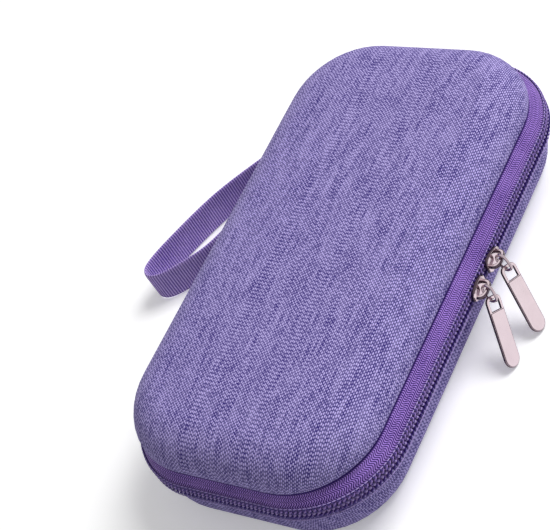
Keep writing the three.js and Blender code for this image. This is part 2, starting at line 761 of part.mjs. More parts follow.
addShells();
addZip();
addPanels();
addMeshPockets();
addElasticBands();
addIcePacks();
addSpine();
addSliders();
addWristStrap();

export default part;
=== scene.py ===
"""Looks of a soft insulin cooling case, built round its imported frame. Metres, Z up."""

import functools
import json
import logging
import math
from abc import ABC, abstractmethod
from dataclasses import dataclass
from enum import Enum
from typing import Callable, Optional, Sequence

import bmesh
import bpy
import numpy as np
from bpy.types import ID, Material, Mesh, Node, NodeTree, Object
from bpy.types import NodeSocket as Socket
from mathutils import Matrix, Vector, noise
from numpy import ndarray as Array

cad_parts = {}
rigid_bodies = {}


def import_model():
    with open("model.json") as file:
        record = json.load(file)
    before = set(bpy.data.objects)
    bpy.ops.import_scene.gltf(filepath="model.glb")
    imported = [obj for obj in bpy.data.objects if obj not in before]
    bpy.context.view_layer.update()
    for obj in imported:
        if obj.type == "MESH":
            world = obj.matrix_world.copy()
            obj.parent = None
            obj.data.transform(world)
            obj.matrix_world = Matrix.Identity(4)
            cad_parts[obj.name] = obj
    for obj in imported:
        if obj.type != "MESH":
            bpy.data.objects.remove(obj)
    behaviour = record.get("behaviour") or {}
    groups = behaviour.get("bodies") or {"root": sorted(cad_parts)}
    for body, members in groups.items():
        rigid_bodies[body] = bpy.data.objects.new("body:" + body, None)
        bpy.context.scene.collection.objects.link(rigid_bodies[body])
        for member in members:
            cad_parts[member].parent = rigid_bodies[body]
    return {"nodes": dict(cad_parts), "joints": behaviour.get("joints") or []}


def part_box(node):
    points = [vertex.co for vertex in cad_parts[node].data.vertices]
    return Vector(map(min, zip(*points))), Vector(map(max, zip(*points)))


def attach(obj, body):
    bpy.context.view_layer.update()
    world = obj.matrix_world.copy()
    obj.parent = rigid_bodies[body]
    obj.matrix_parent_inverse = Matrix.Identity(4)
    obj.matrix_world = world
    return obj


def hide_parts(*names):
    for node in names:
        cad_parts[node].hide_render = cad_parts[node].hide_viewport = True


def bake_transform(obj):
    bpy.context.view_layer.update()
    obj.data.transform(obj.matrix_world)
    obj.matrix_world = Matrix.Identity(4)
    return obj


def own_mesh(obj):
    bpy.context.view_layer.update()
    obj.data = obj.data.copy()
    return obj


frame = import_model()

LOG = logging.getLogger("cooling_case")
MM = 0.001
TURN = 2 * math.pi
UP = (0.0, 0.0, 1.0)
WHITE = (1.0, 1.0, 1.0, 1.0)
RIB_PITCH = 1.08 * MM
SEEN_RAYS = ("Is Camera Ray", "Is Glossy Ray", "Is Transmission Ray")

Colour = tuple[float, float, float, float]
Span = tuple[float, float]
Profile = list[Span]
Paths = Sequence[Array]
Walk = tuple[Array, Array, Array]
Section = Callable[[float], Array]
Face = Callable[[Array], Array]


def srgb(red: int, green: int, blue: int) -> Colour:
    """Turns display values of 0 to 255 into a linear colour.

    Args:
        red, green, blue: The colour as a screen shows it.

    Returns:
        The linear colour with full opacity.
    """
    shares = [value / 255 for value in (red, green, blue)]
    linear = [s / 12.92 if s <= 0.04045 else ((s + 0.055) / 1.055) ** 2.4 for s in shares]
    return (linear[0], linear[1], linear[2], 1.0)


class Slot(Enum):
    """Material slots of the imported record."""

    COVER = "heather_fabric"
    FOIL = "foil_lining"
    TAPE = "zip_tape"
    COIL = "zip_coil"
    WEBBING = "grosgrain"
    METAL = "rose_silver"
    NET = "grey_mesh"
    ELASTIC = "grey_elastic"
    GEL = "gel_pack"


class Half(Enum):
    """The two halves of the case. The value is the side, up or down, that each one's rim faces."""

    BASE = 1
    LID = -1

    @property
    def body(self) -> str:
        """Name of the frame's body."""
        return self.name.lower()


class Nodes:
    """A node tree, added to and linked in short calls."""

    def __init__(self, tree: NodeTree) -> None:
        """Takes the tree."""
        self.tree = tree

    def feed(self, socket: Socket, value: object) -> None:
        """Links a socket to another one, or sets its value.

        Args:
            socket: The socket to fill.
            value: Another socket, or a value.
        """
        if isinstance(value, Socket):
            self.tree.links.new(value, socket)
        else:
            socket.default_value = value

    def node(self, kind: str, inputs: Optional[dict] = None, **settings: object) -> Node:
        """Adds a node.

        Args:
            kind: The node's type name.
            inputs: Values or sockets for its inputs, by name or place.
            settings: Values for its own properties.

        Returns:
            The node.
        """
        made = self.tree.nodes.new(kind)
        for key, value in settings.items():
            setattr(made, key, value)
        for key, value in (inputs or {}).items():
            self.feed(made.inputs[key], value)
        return made

    def math(self, operation: str, a: object, b: object = 0.0) -> Socket:
        """Adds a Math node and returns its result."""
        return self.node("ShaderNodeMath", {0: a, 1: b}, operation=operation).outputs[0]

    def times(self, a: object, b: object) -> Socket:
        """Multiplies two values."""
        return self.math("MULTIPLY", a, b)

    def plus(self, *values: object) -> Socket:
        """Adds values up."""
        return functools.reduce(functools.partial(self.math, "ADD"), values)


class Graph(Nodes):
    """A material with a Principled shader."""

    def __init__(self, name: str) -> None:
        """Starts the material.

        Args:
            name: The material's name.
        """
        self.material = bpy.data.materials.new(name)
        self.material.use_nodes = True
        super().__init__(self.material.node_tree)
        self.tree.nodes.clear()
        self.shader = self.node("ShaderNodeBsdfPrincipled")
        self.node("ShaderNodeOutputMaterial", {"Surface": self.shader.outputs["BSDF"]})

    def ramp(self, value: object, slope: float, shift: object, clamp: bool = False) -> Socket:
        """Multiplies a value by a slope, adds a shift and returns the result."""
        inputs = {0: value, 1: slope, 2: shift}
        return self.node("ShaderNodeMath", inputs, operation="MULTIPLY_ADD", use_clamp=clamp).outputs[0]

    def mix(self, factor: object, a: object, b: object) -> Socket:
        """Mixes two colours and returns the result."""
        return self.node("ShaderNodeMix", {0: factor, 6: a, 7: b}, data_type="RGBA").outputs[2]

    def uv(self) -> tuple[Socket, Socket]:
        """The piece's own UV map, which is in metres, as two numbers.

        Returns:
            U and V.
        """
        place = self.node("ShaderNodeTexCoord").outputs["UV"]
        parts = self.node("ShaderNodeSeparateXYZ", {0: place})
        return parts.outputs[0], parts.outputs[1]

    def objects(self) -> Socket:
        """Object coordinates, in metres."""
        return self.node("ShaderNodeTexCoord").outputs["Object"]

    def vector(self, x: object, y: object) -> Socket:
        """Joins two numbers to a vector."""
        return self.node("ShaderNodeCombineXYZ", {0: x, 1: y}).outputs[0]

    def wave(self, place: object, pitch: float) -> Socket:
        """A wave from 0 to 1 of a given pitch, whose tops lie on whole pitches."""
        return self.ramp(self.math("COSINE", self.times(place, TURN / pitch)), 0.5, 0.5)

    def noise(self, vector: object, scale: float, detail: float = 2.0) -> Socket:
        """Noise from 0 to 1 at a given scale."""
        inputs = {"Vector": vector, "Scale": scale, "Detail": detail}
        return self.node("ShaderNodeTexNoise", inputs).outputs[0]

    def bump(self, height: object, strength: float, distance: float) -> None:
        """Turns a height into the shader's normal."""
        made = self.node("ShaderNodeBump", {"Height": height, "Strength": strength, "Distance": distance})
        self.set(Normal=made.outputs[0])

    def set(self, **values: object) -> None:
        """Sets inputs of the shader, with underscores for the spaces in their names."""
        for key, value in values.items():
            self.feed(self.shader.inputs[key.replace("_", " ")], value)


class Finish(ABC):
    """What a piece is made of."""

    name: str

    @abstractmethod
    def dress(self, g: Graph) -> None:
        """Adds the finish to a material."""


@functools.cache
def material_of(finish: Finish) -> Material:
    """The material of a finish, made when it is first asked for.

    Args:
        finish: The finish.

    Returns:
        The material.
    """
    g = Graph(finish.name)
    finish.dress(g)
    return g.material


@dataclass(frozen=True)
class HeatherCover(Finish):
    """Melange plain weave whose dark and light yarns run along the case."""

    name: str = "heather cover"
    dark: Colour = srgb(48, 31, 122)
    light: Colour = srgb(206, 192, 252)
    yarn_pitch: float = 0.74 * MM
    float_length: float = 1.5 * MM
    streak_length: float = 14 * MM
    lane_step: float = 7.3
    looseness: float = 0.4
    streaks: float = 0.6
    clouds: float = 0.15
    fibres: float = 0.5
    contrast: float = 1.25
    level: float = -0.67
    relief: float = 0.14 * MM

    def dress(self, g: Graph) -> None:
        """Weaves the yarns and varies their tone.

        Args:
            g: The material.
        """
        u, v = g.uv()
        across = g.math("DIVIDE", v, self.yarn_pitch)
        yarn = g.math("FLOOR", across)
        loose = g.node("ShaderNodeTexWhiteNoise", {"W": yarn}, noise_dimensions="1D").outputs[0]
        start = g.ramp(yarn, 0.5, g.times(loose, self.looseness))
        along = g.plus(g.math("DIVIDE", u, self.float_length), start)
        cell = g.vector(g.math("ROUND", along), yarn)
        stitch = g.node("ShaderNodeTexWhiteNoise", {"Vector": cell}, noise_dimensions="2D").outputs[0]
        crossing = g.times(g.wave(along, 1.0), g.ramp(g.wave(across, 1.0), -1.0, 1.0))
        fleck = g.times(crossing, g.ramp(stitch, 1.4, 0.5))
        lane = g.vector(g.math("DIVIDE", u, self.streak_length), g.times(yarn, self.lane_step))
        streak = g.noise(lane, 1.0, 1.0)
        cloud = g.noise(g.vector(g.times(u, 0.4), v), 110.0)
        fibre = g.noise(g.vector(u, g.times(v, 4.0)), 2400.0)
        shades = [(streak, self.streaks), (cloud, self.clouds), (fibre, self.fibres)]
        tone = g.plus(fleck, *(g.times(shade, share) for shade, share in shades))
        share = g.ramp(tone, self.contrast, self.level, True)
        g.set(Base_Color=g.mix(share, self.dark, self.light))
        g.set(Roughness=0.92, Sheen_Weight=0.08, Specular_IOR_Level=0.2)
        g.bump(g.plus(crossing, g.times(stitch, 0.4)), 0.6, self.relief)


@dataclass(frozen=True)
class RibbedWeave(Finish):
    """Tape or webbing with ribs across it. U of its UV map runs along the piece."""

    name: str
    valley: Colour
    ridge: Colour
    pitch: float = RIB_PITCH
    herringbone: float = 0.0
    picks: float = 0.0
    rows: float = 1.5 * MM
    # Width of a band of painted shade at the foot, where V is 0; 0 for none.
    crease: float = 0.0
    contrast: float = 1.0
    ribs: float = 0.5
    relief: float = 0.1 * MM

    def dress(self, g: Graph) -> None:
        """Weaves the ribs, which zigzag by rows where they have a herringbone.

        Args:
            g: The material.
        """
        u, v = g.uv()
        zigzag = g.times(g.wave(v, self.rows), self.herringbone * self.pitch)
        rib = g.wave(g.plus(u, zigzag), self.pitch)
        fleck = g.noise(g.vector(u, g.times(v, 1.6)), 1700.0)
        cloud = g.noise(g.vector(u, v), 90.0)
        pick = g.times(g.wave(v, self.rows / 2), self.picks)
        weave = g.plus(g.times(rib, self.ribs), g.times(fleck, 1.4 - self.ribs), pick)
        share = g.plus(weave, g.ramp(cloud, 0.35, -0.41 - self.picks / 2))
        share = g.ramp(share, self.contrast, 0.5 - self.contrast / 2, True)
        # Painted shade: next to its sewn foot the tape darkens to its valley colour, for the shaded groove
        # under the rim.
        if self.crease:
            share = g.times(share, g.ramp(v, 1.6 / self.crease, -1.0, True))
        g.set(Base_Color=g.mix(share, self.valley, self.ridge))
        g.set(Roughness=0.85, Sheen_Weight=0.15, Specular_IOR_Level=0.25)
        g.bump(g.plus(fleck, g.times(rib, 0.6)), 0.35, self.relief)


@dataclass(frozen=True)
class NylonCoil(Finish):
    """Dark moulded nylon with a soft gloss."""

    name: str = "nylon coil"
    deep: Colour = srgb(40, 22, 92)
    worn: Colour = srgb(78, 54, 146)
    relief: float = 0.05 * MM

    def dress(self, g: Graph) -> None:
        """Grains the nylon.

        Args:
            g: The material.
        """
        grain = g.noise(g.objects(), 700.0)
        g.set(Base_Color=g.mix(grain, self.deep, self.worn), Roughness=0.45, Specular_IOR_Level=0.35)
        g.bump(g.noise(g.objects(), 2500.0), 0.2, self.relief)


@dataclass(frozen=True)
class PlatedMetal(Finish):
    """Polished plating with a slight rose tint, darker on cut edges as painted shade and dark reflections. U
    of its UV map is 1 on those.
    """

    name: str = "rose silver plating"
    bright: Colour = srgb(224, 207, 213)
    dull: Colour = srgb(208, 190, 196)
    # Painted shade and dark reflections on the plates' side faces, and in part on the link's wire.
    cut: Colour = srgb(84, 70, 80)

    def dress(self, g: Graph) -> None:
        """Clouds the plating and darkens its cut edges.

        Args:
            g: The material.
        """
        cut, _ = g.uv()
        plated = g.mix(g.noise(g.objects(), 160.0, 3.0), self.bright, self.dull)
        # Painted shade: cut edges take the dark cut colour, and the link's wire a share of it.
        g.set(Base_Color=g.mix(cut, plated, self.cut), Metallic=1.0)
        g.set(Roughness=g.ramp(g.noise(g.objects(), 900.0, 4.0), 0.1, 0.08))


@dataclass(frozen=True)
class FoilWeave(Finish):
    """Silver laminate pressed with a fine slanting weave."""

    name: str = "silver foil"
    bright: Colour = srgb(244, 244, 246)
    dim: Colour = srgb(84, 84, 90)
    pitch: float = 1.15 * MM
    relief: float = 0.35 * MM

    def dress(self, g: Graph) -> None:
        """Presses the weave and creases the laminate.

        Args:
            g: The material.
        """
        u, v = g.uv()
        rising = g.wave(g.plus(u, v), self.pitch)
        falling = g.wave(g.math("SUBTRACT", u, v), self.pitch)
        dots = g.times(rising, falling)
        crease = g.noise(g.vector(u, v), 55.0, 3.0)
        fold = g.noise(g.vector(g.times(u, 0.3), v), 95.0, 1.5)
        sheen = g.ramp(g.plus(fold, g.times(crease, 0.5)), 3.6, -2.1, True)
        share = g.plus(g.times(dots, 0.55), g.times(sheen, 0.75))
        g.set(Base_Color=g.mix(g.math("MINIMUM", share, 1.0), self.dim, self.bright), Metallic=0.9)
        g.set(Roughness=g.ramp(crease, 0.2, 0.14))
        g.bump(g.plus(dots, g.times(g.plus(crease, fold), 1.6)), 0.6, self.relief)


@dataclass(frozen=True)
class Yarn(Finish):
    """Matt yarn of one colour, for knits, elastics and sewing thread."""

    name: str
    shadow: Colour
    light: Colour
    pitch: float = 0.3 * MM
    relief: float = 0.15 * MM

    def dress(self, g: Graph) -> None:
        """Grains and clouds the yarn.

        Args:
            g: The material.
        """
        grain = g.noise(g.objects(), 1.0 / self.pitch, 3.0)
        cloud = g.noise(g.objects(), 60.0)
        share = g.plus(g.times(grain, 0.7), g.times(cloud, 0.45))
        g.set(Base_Color=g.mix(g.math("MINIMUM", share, 1.0), self.shadow, self.light))
        g.set(Roughness=0.9, Sheen_Weight=0.1, Specular_IOR_Level=0.2)
        g.bump(grain, 0.4, self.relief)


@dataclass(frozen=True)
class GelFilm(Finish):
    """Glossy blue film over gel, paler where its two layers are welded."""

    name: str = "gel film"
    deep: Colour = srgb(24, 82, 176)
    clear: Colour = srgb(44, 112, 206)
    weld: Colour = srgb(84, 146, 222)
    relief: float = 0.6 * MM

    def dress(self, g: Graph) -> None:
        """Clouds the gel and pales the weld, which the piece's attribute marks.

        Args:
            g: The material.
        """
        weld = g.node("ShaderNodeAttribute", attribute_name="weld").outputs["Fac"]
        gel = g.mix(g.noise(g.objects(), 70.0, 3.0), self.deep, self.clear)
        g.set(Base_Color=g.mix(weld, gel, self.weld), Roughness=0.26, Coat_Weight=0.4, Coat_Roughness=0.12)
        g.bump(g.noise(g.objects(), 140.0, 3.0), 0.35, self.relief)


@dataclass(frozen=True)
class Print(Finish):
    """White ink on film."""

    name: str = "white print"
    ink: Colour = srgb(244, 247, 252)
    thin: Colour = srgb(206, 220, 242)

    def dress(self, g: Graph) -> None:
        """Lays the ink unevenly."""
        g.set(Base_Color=g.mix(g.noise(g.objects(), 1200.0), self.ink, self.thin), Roughness=0.5)


class Finishes:
    """The finishes of the case."""

    cover = HeatherCover()
    # The zip tape has painted shade along its foot, the groove under the rim.
    tape = RibbedWeave(
        "zip tape", srgb(46, 18, 104), srgb(180, 142, 230), 0.92 * MM, herringbone=1.1, picks=0.1,
        rows=3.0 * MM, crease=1.1 * MM, contrast=3.4, ribs=0.6,
    )
    strap = RibbedWeave("strap webbing", srgb(102, 74, 168), srgb(216, 192, 250), contrast=1.2, ribs=0.8)
    binding = RibbedWeave("binding grosgrain", srgb(46, 36, 122), srgb(118, 108, 196))
    coil = NylonCoil()
    metal = PlatedMetal()
    foil = FoilWeave()
    net = Yarn("grey knit", srgb(160, 159, 162), srgb(226, 225, 227), 0.55 * MM)
    elastic = Yarn("grey elastic", srgb(176, 174, 177), srgb(222, 220, 222), 0.55 * MM)
    # Painted shade: a dark copy of the coil cord, for the base's side of the coil.
    dark_thread = Yarn("indigo thread", srgb(40, 24, 92), srgb(70, 46, 132))
    thread = Yarn("violet thread", srgb(70, 54, 140), srgb(132, 114, 196))
    # The real lashing thread, and also the painted highlight on the base coil's heads.
    lashing = Yarn("lashing thread", srgb(128, 100, 188), srgb(206, 186, 238))
    # The lit copy of the coil cord, for the lid's side of the coil.
    cord = Yarn("coil cord", srgb(112, 84, 172), srgb(186, 158, 226))
    pale_thread = Yarn("grey thread", srgb(120, 119, 122), srgb(168, 167, 170))
    film = GelFilm()
    ink = Print()


def linked(name: str, data: ID) -> Object:
    """Makes an object at the origin and links it to the scene.

    Args:
        name: The object's name.
        data: Its mesh, curve, lamp or camera.

    Returns:
        The object.
    """
    made = bpy.data.objects.new(name, data)
    bpy.context.scene.collection.objects.link(made)
    return made


def baked(holder: Object) -> Mesh:
    """The plain mesh that an object's curve or modifier gives. The object is removed.

    Args:
        holder: The object.

    Returns:
        The mesh.
    """
    scene_state = bpy.context.evaluated_depsgraph_get()
    mesh = bpy.data.meshes.new_from_object(holder.evaluated_get(scene_state))
    bpy.data.objects.remove(holder)
    return mesh


def tube_faces(count: int, places: int) -> list[list[int]]:
    """Faces of a capped tube of count rings with the given places round each.

    Args:
        count: Count of rings.
        places: Places round each ring.

    Returns:
        Faces as places of points, the two caps last.
    """
    index = np.arange(count * places).reshape(count, places)
    after = np.roll(index, -1, axis=1)
    sides = np.stack([index[:-1], after[:-1], after[1:], index[1:]], -1).reshape(-1, 4)
    return [*sides.tolist(), index[0, ::-1].tolist(), index[-1].tolist()]


class Piece:
    """A mesh in the making, from points and faces in the shared frame."""

    def __init__(self) -> None:
        """Starts an empty piece."""
        self.points: list[Array] = []
        self.faces: list[list[int]] = []
        self.uvs: list[Array] = []
        self.count = 0

    def add(self, points: Array, faces: Sequence[Sequence[int]], uvs: Array) -> "Piece":
        """Adds points with their faces and UV places.

        Args:
            points: Points as rows of three.
            faces: Faces as places of those points.
            uvs: A UV place for each point.

        Returns:
            This piece.
        """
        self.points.append(points)
        self.faces += [[self.count + i for i in face] for face in faces]
        self.uvs.append(uvs)
        self.count += len(points)
        return self

    def plate(self, mesh: Mesh, place: Matrix) -> "Piece":
        """Adds a flat plate's mesh at a place, marks its cut edges in U for the metal's painted shade, and
        removes the mesh.

        Args:
            mesh: The plate.
            place: Where it goes.

        Returns:
            This piece.
        """
        points = np.array([place @ v.co for v in mesh.vertices])
        height = np.array([abs(v.co.z) for v in mesh.vertices])
        cut = height < height.max() - 1e-6
        self.add(points, [list(p.vertices) for p in mesh.polygons], np.stack([cut, np.zeros(len(cut))], -1))
        bpy.data.meshes.remove(mesh)
        return self

    def tube(self, rings: Array, uvs: Array) -> "Piece":
        """Adds a closed tube through rings, each ring of the same count of places, capped at both ends."""
        return self.add(rings.reshape(-1, 3), tube_faces(*rings.shape[:2]), uvs.reshape(-1, 2))

    def band(self, rings: Array, along: Array, across: Array) -> "Piece":
        """Adds a closed tube whose UV places are given for each ring and for each place round a ring."""
        return self.tube(rings, np.stack(np.meshgrid(along, across, indexing="ij"), -1))

    def slab(self, top: Array, bottom: Array, uvs: Array) -> "Piece":
        """Adds a closed sheet between two grids of points, each rows x columns x 3.

        Args:
            top: Points of one face.
            bottom: Points of the other face.
            uvs: UV places of either.

        Returns:
            This piece.
        """
        rows, columns = top.shape[:2]
        half = rows * columns
        index = np.arange(half).reshape(rows, columns)
        quads = np.stack([index[:-1, :-1], index[:-1, 1:], index[1:, 1:], index[1:, :-1]], -1).reshape(-1, 4)
        border = np.concatenate([index[0], index[1:, -1], index[-1, -2::-1], index[-2:0:-1, 0]])
        after = np.roll(border, -1)
        walls = np.stack([border, border + half, after + half, after], -1)
        faces = [*quads.tolist(), *(quads[:, ::-1] + half).tolist(), *walls.tolist()]
        points = np.concatenate([top.reshape(-1, 3), bottom.reshape(-1, 3)])
        return self.add(points, faces, np.tile(uvs.reshape(-1, 2), (2, 1)))

    def make(self, name: str, finish: Finish, sharp: float = 40.0) -> Object:
        """Turns what was added into an object with outward faces.

        Args:
            name: The object's name.
            finish: What it is made of.
            sharp: Edges over this angle, in degrees, stay sharp.

        Returns:
            The object, linked to the scene.
        """
        mesh = bpy.data.meshes.new(name)
        mesh.from_pydata(np.concatenate(self.points).tolist(), [], self.faces)
        places = np.concatenate(self.uvs)
        corners = np.zeros(len(mesh.loops), np.int32)
        mesh.loops.foreach_get("vertex_index", corners)
        layer = mesh.uv_layers.new(name="UVMap")
        layer.data.foreach_set("uv", places[corners].astype(np.float32).ravel())
        turned = bmesh.new()
        turned.from_mesh(mesh)
        bmesh.ops.recalc_face_normals(turned, faces=turned.faces)
        turned.to_mesh(mesh)
        turned.free()
        mesh.shade_smooth()
        mesh.set_sharp_from_angle(angle=math.radians(sharp))
        mesh.materials.append(material_of(finish))
        return linked(name, mesh)


def settle(piece: Object, body: str, slot: Slot, *nodes: str) -> Object:
    """Makes a piece ride on a body and stand for CAD nodes.

    Args:
        piece: The piece.
        body: The body that it moves with.
        slot: Its material slot in the record. Not used.
        nodes: The CAD nodes that it replaces.

    Returns:
        The piece.
    """
    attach(piece, body)
    if nodes:
        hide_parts(*nodes)
    LOG.info("%s rides on %s, %d faces", piece.name, body, len(piece.data.polygons))
    return piece


def smooth(share: Array) -> Array:
    """Eases shares of 0 to 1 in and out."""
    t = np.clip(share, 0.0, 1.0)
    return t * t * (3 - 2 * t)


def ripples(points: Array, wavelength: float, seed: float) -> Array:
    """Smooth random heights of about -1 to 1 at points in space or in plan.

    Args:
        points: The points.
        wavelength: Rough distance between tops.
        seed: Shifts the heights.

    Returns:
        A height for each point.
    """
    shift = Vector((seed, seed * 0.37, -seed))
    places = points.reshape(-1, points.shape[-1])
    heights = [noise.noise(Vector((*p, 0.0)[:3]) / wavelength + shift) for p in places]
    return np.array(heights).reshape(points.shape[:-1])


def raised(plan: Array, height: object) -> Array:
    """Points in space from plan points and their heights, which may be given for a whole row or for all."""
    return np.concatenate([plan, np.broadcast_to(height, plan.shape[:-1])[..., None]], -1)


def lengths(line: Array) -> Array:
    """Distance along a line at each of its points."""
    steps = np.linalg.norm(np.diff(line, axis=0), axis=1)
    return np.concatenate([[0.0], np.cumsum(steps)])


def sides(line: Array) -> Array:
    """Directions to the left of a line in a plane, at each of its points.

    Args:
        line: The line's points.

    Returns:
        A unit direction for each point.
    """
    ahead = np.gradient(line, axis=0)
    ahead /= np.linalg.norm(ahead, axis=1, keepdims=True)
    return np.stack([-ahead[:, 1], ahead[:, 0]], -1)


def offset_outline(line: Array, thickness: Array) -> Array:
    """Outline of a strip along a bent line, from its left side back along its right side."""
    side = sides(line) * (thickness / 2)[:, None]
    return np.concatenate([line + side, (line - side)[::-1]])


def spaced(line: Array, count: int) -> Array:
    """A count of evenly spaced points on a line.

    Args:
        line: The line's points.
        count: How many new points.

    Returns:
        The new points.
    """
    at = lengths(line)
    wanted = np.linspace(0, at[-1], count)
    return np.stack([np.interp(wanted, at, line[:, k]) for k in range(line.shape[1])], -1)


def resample(corners: Sequence[Sequence[float]], count: int) -> Array:
    """Evenly spaced points on a smoothed line through a few corners.

    Args:
        corners: The corners in order.
        count: How many points.

    Returns:
        The points.
    """
    line = np.array(corners, float)
    for _ in range(3):
        cut = np.empty((2 * len(line) - 2, line.shape[1]))
        cut[0::2] = 0.75 * line[:-1] + 0.25 * line[1:]
        cut[1::2] = 0.25 * line[:-1] + 0.75 * line[1:]
        line = np.concatenate([line[:1], cut, line[-1:]])
    return spaced(line, count)


def arc(centre: tuple[float, float], radius: float, start: float, end: float, steps: int = 14) -> Array:
    """Points on an arc, between angles in degrees."""
    angles = np.radians(np.linspace(start, end, steps + 1))
    return np.array(centre) + radius * np.stack([np.cos(angles), np.sin(angles)], -1)


@dataclass(frozen=True)
class CaseForm:
    """Sizes that the shells, zip, linings and spine share."""

    seam_x: float
    seam_y: float
    base_rim: float
    lid_rim: float
    corner_radius: float = 32 * MM
    wall: float = 3.6 * MM
    gap: float = 0.3 * MM
    edge_tuck: float = 0.2 * MM
    lining: float = 0.6 * MM
    panel: float = 1.4 * MM
    zip_flare: float = 4 * MM
    zip_end_flare: float = 2 * MM
    pocket_mouth: float = 20 * MM
    sew_margin: float = 1.6 * MM

    @classmethod
    def from_frame(cls) -> "CaseForm":
        """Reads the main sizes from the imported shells.

        Returns:
            The sizes.
        """
        _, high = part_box("base_shell")
        lid_low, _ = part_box("lid_shell")
        return cls(high.x, high.y, high.z, lid_low.z)

    @property
    def corner(self) -> Array:
        """Centre of the +X +Y corner's rounding, in plan."""
        return np.array([self.seam_x, self.seam_y]) - self.corner_radius

    @property
    def coil_plane(self) -> float:
        """Height of the line where the two coils meet."""
        return (self.base_rim + self.lid_rim) / 2

    @property
    def lining_inset(self) -> float:
        """Outside of the rim to the outside of the lining."""
        return self.wall + self.gap

    @property
    def panel_inset(self) -> float:
        """Outside of the rim to the edge of the pocket panel."""
        return self.lining_inset + self.lining + self.gap

    @property
    def sewn_inset(self) -> float:
        """Outside of the rim to the edge of what is sewn on the panel."""
        return self.panel_inset + self.sew_margin

    @property
    def mouth_x(self) -> float:
        """Place of the ice pockets' mouth edge."""
        return self.seam_x - self.pocket_mouth

    def rim(self, half: Half) -> float:
        """Height of a half's rim."""
        return self.base_rim if half is Half.BASE else self.lid_rim

    def half_width(self, x: Array, inset: float) -> Array:
        """Half of the plan outline's width at places along X.

        Args:
            x: The places.
            inset: Distance in from the outside of the rims.

        Returns:
            Half of the width at each.
        """
        radius = self.corner_radius - inset
        past = np.clip(np.abs(x) - self.corner[0], 0, radius)
        return self.corner[1] + np.sqrt(radius**2 - past**2)

    def walk(self, turns: Sequence[int], step: float, closed: bool) -> Walk:
        """Walks round the plan outline, counter-clockwise.

        Args:
            turns: Corners in order, counted from the +X +Y one.
            step: Greatest distance between points on the outside.
            closed: Whether a straight run leads from the last corner back to the first.

        Returns:
            Corner centres or places between them, outward normals, and progress in degrees with 90 a corner.
        """
        radius = self.corner_radius + self.zip_flare
        signs = [(1, 1), (-1, 1), (-1, -1), (1, -1)]
        arc_steps = max(4, round(radius * math.pi / 2 / step))
        anchors, normals, progress = [], [], []
        for place, turn in enumerate(turns):
            centre = self.corner * signs[turn % 4]
            for i in range(arc_steps + 1):
                angle = (turn + i / arc_steps) * math.pi / 2
                anchors.append(centre)
                normals.append((math.cos(angle), math.sin(angle)))
                progress.append(90 * (place + i / arc_steps))
            if place + 1 == len(turns) and not closed:
                break
            goal = self.corner * signs[(turn + 1) % 4]
            run_steps = max(2, round(float(np.linalg.norm(goal - centre)) / step))
            for i in range(1, run_steps):
                anchors.append(centre + (goal - centre) * i / run_steps)
                normals.append(normals[-1])
                progress.append(90.0 * (place + 1))
        return np.array(anchors), np.array(normals), np.array(progress)

    def zip_walk(self, step: float) -> Walk:
        """The zip's way round from the -X end of the spine.

        Args:
            step: Greatest distance between points.

        Returns:
            Points on the rims, outward normals and flare.
        """
        anchors, normals, progress = self.walk([1, 2, 3, 4], step, False)
        from_spine = np.minimum(progress, 360 - progress)
        flare = self.zip_end_flare * smooth(from_spine / 90)
        flare += (self.zip_flare - self.zip_end_flare) * smooth((from_spine - 90) / 90)
        return anchors + normals * self.corner_radius, normals, flare


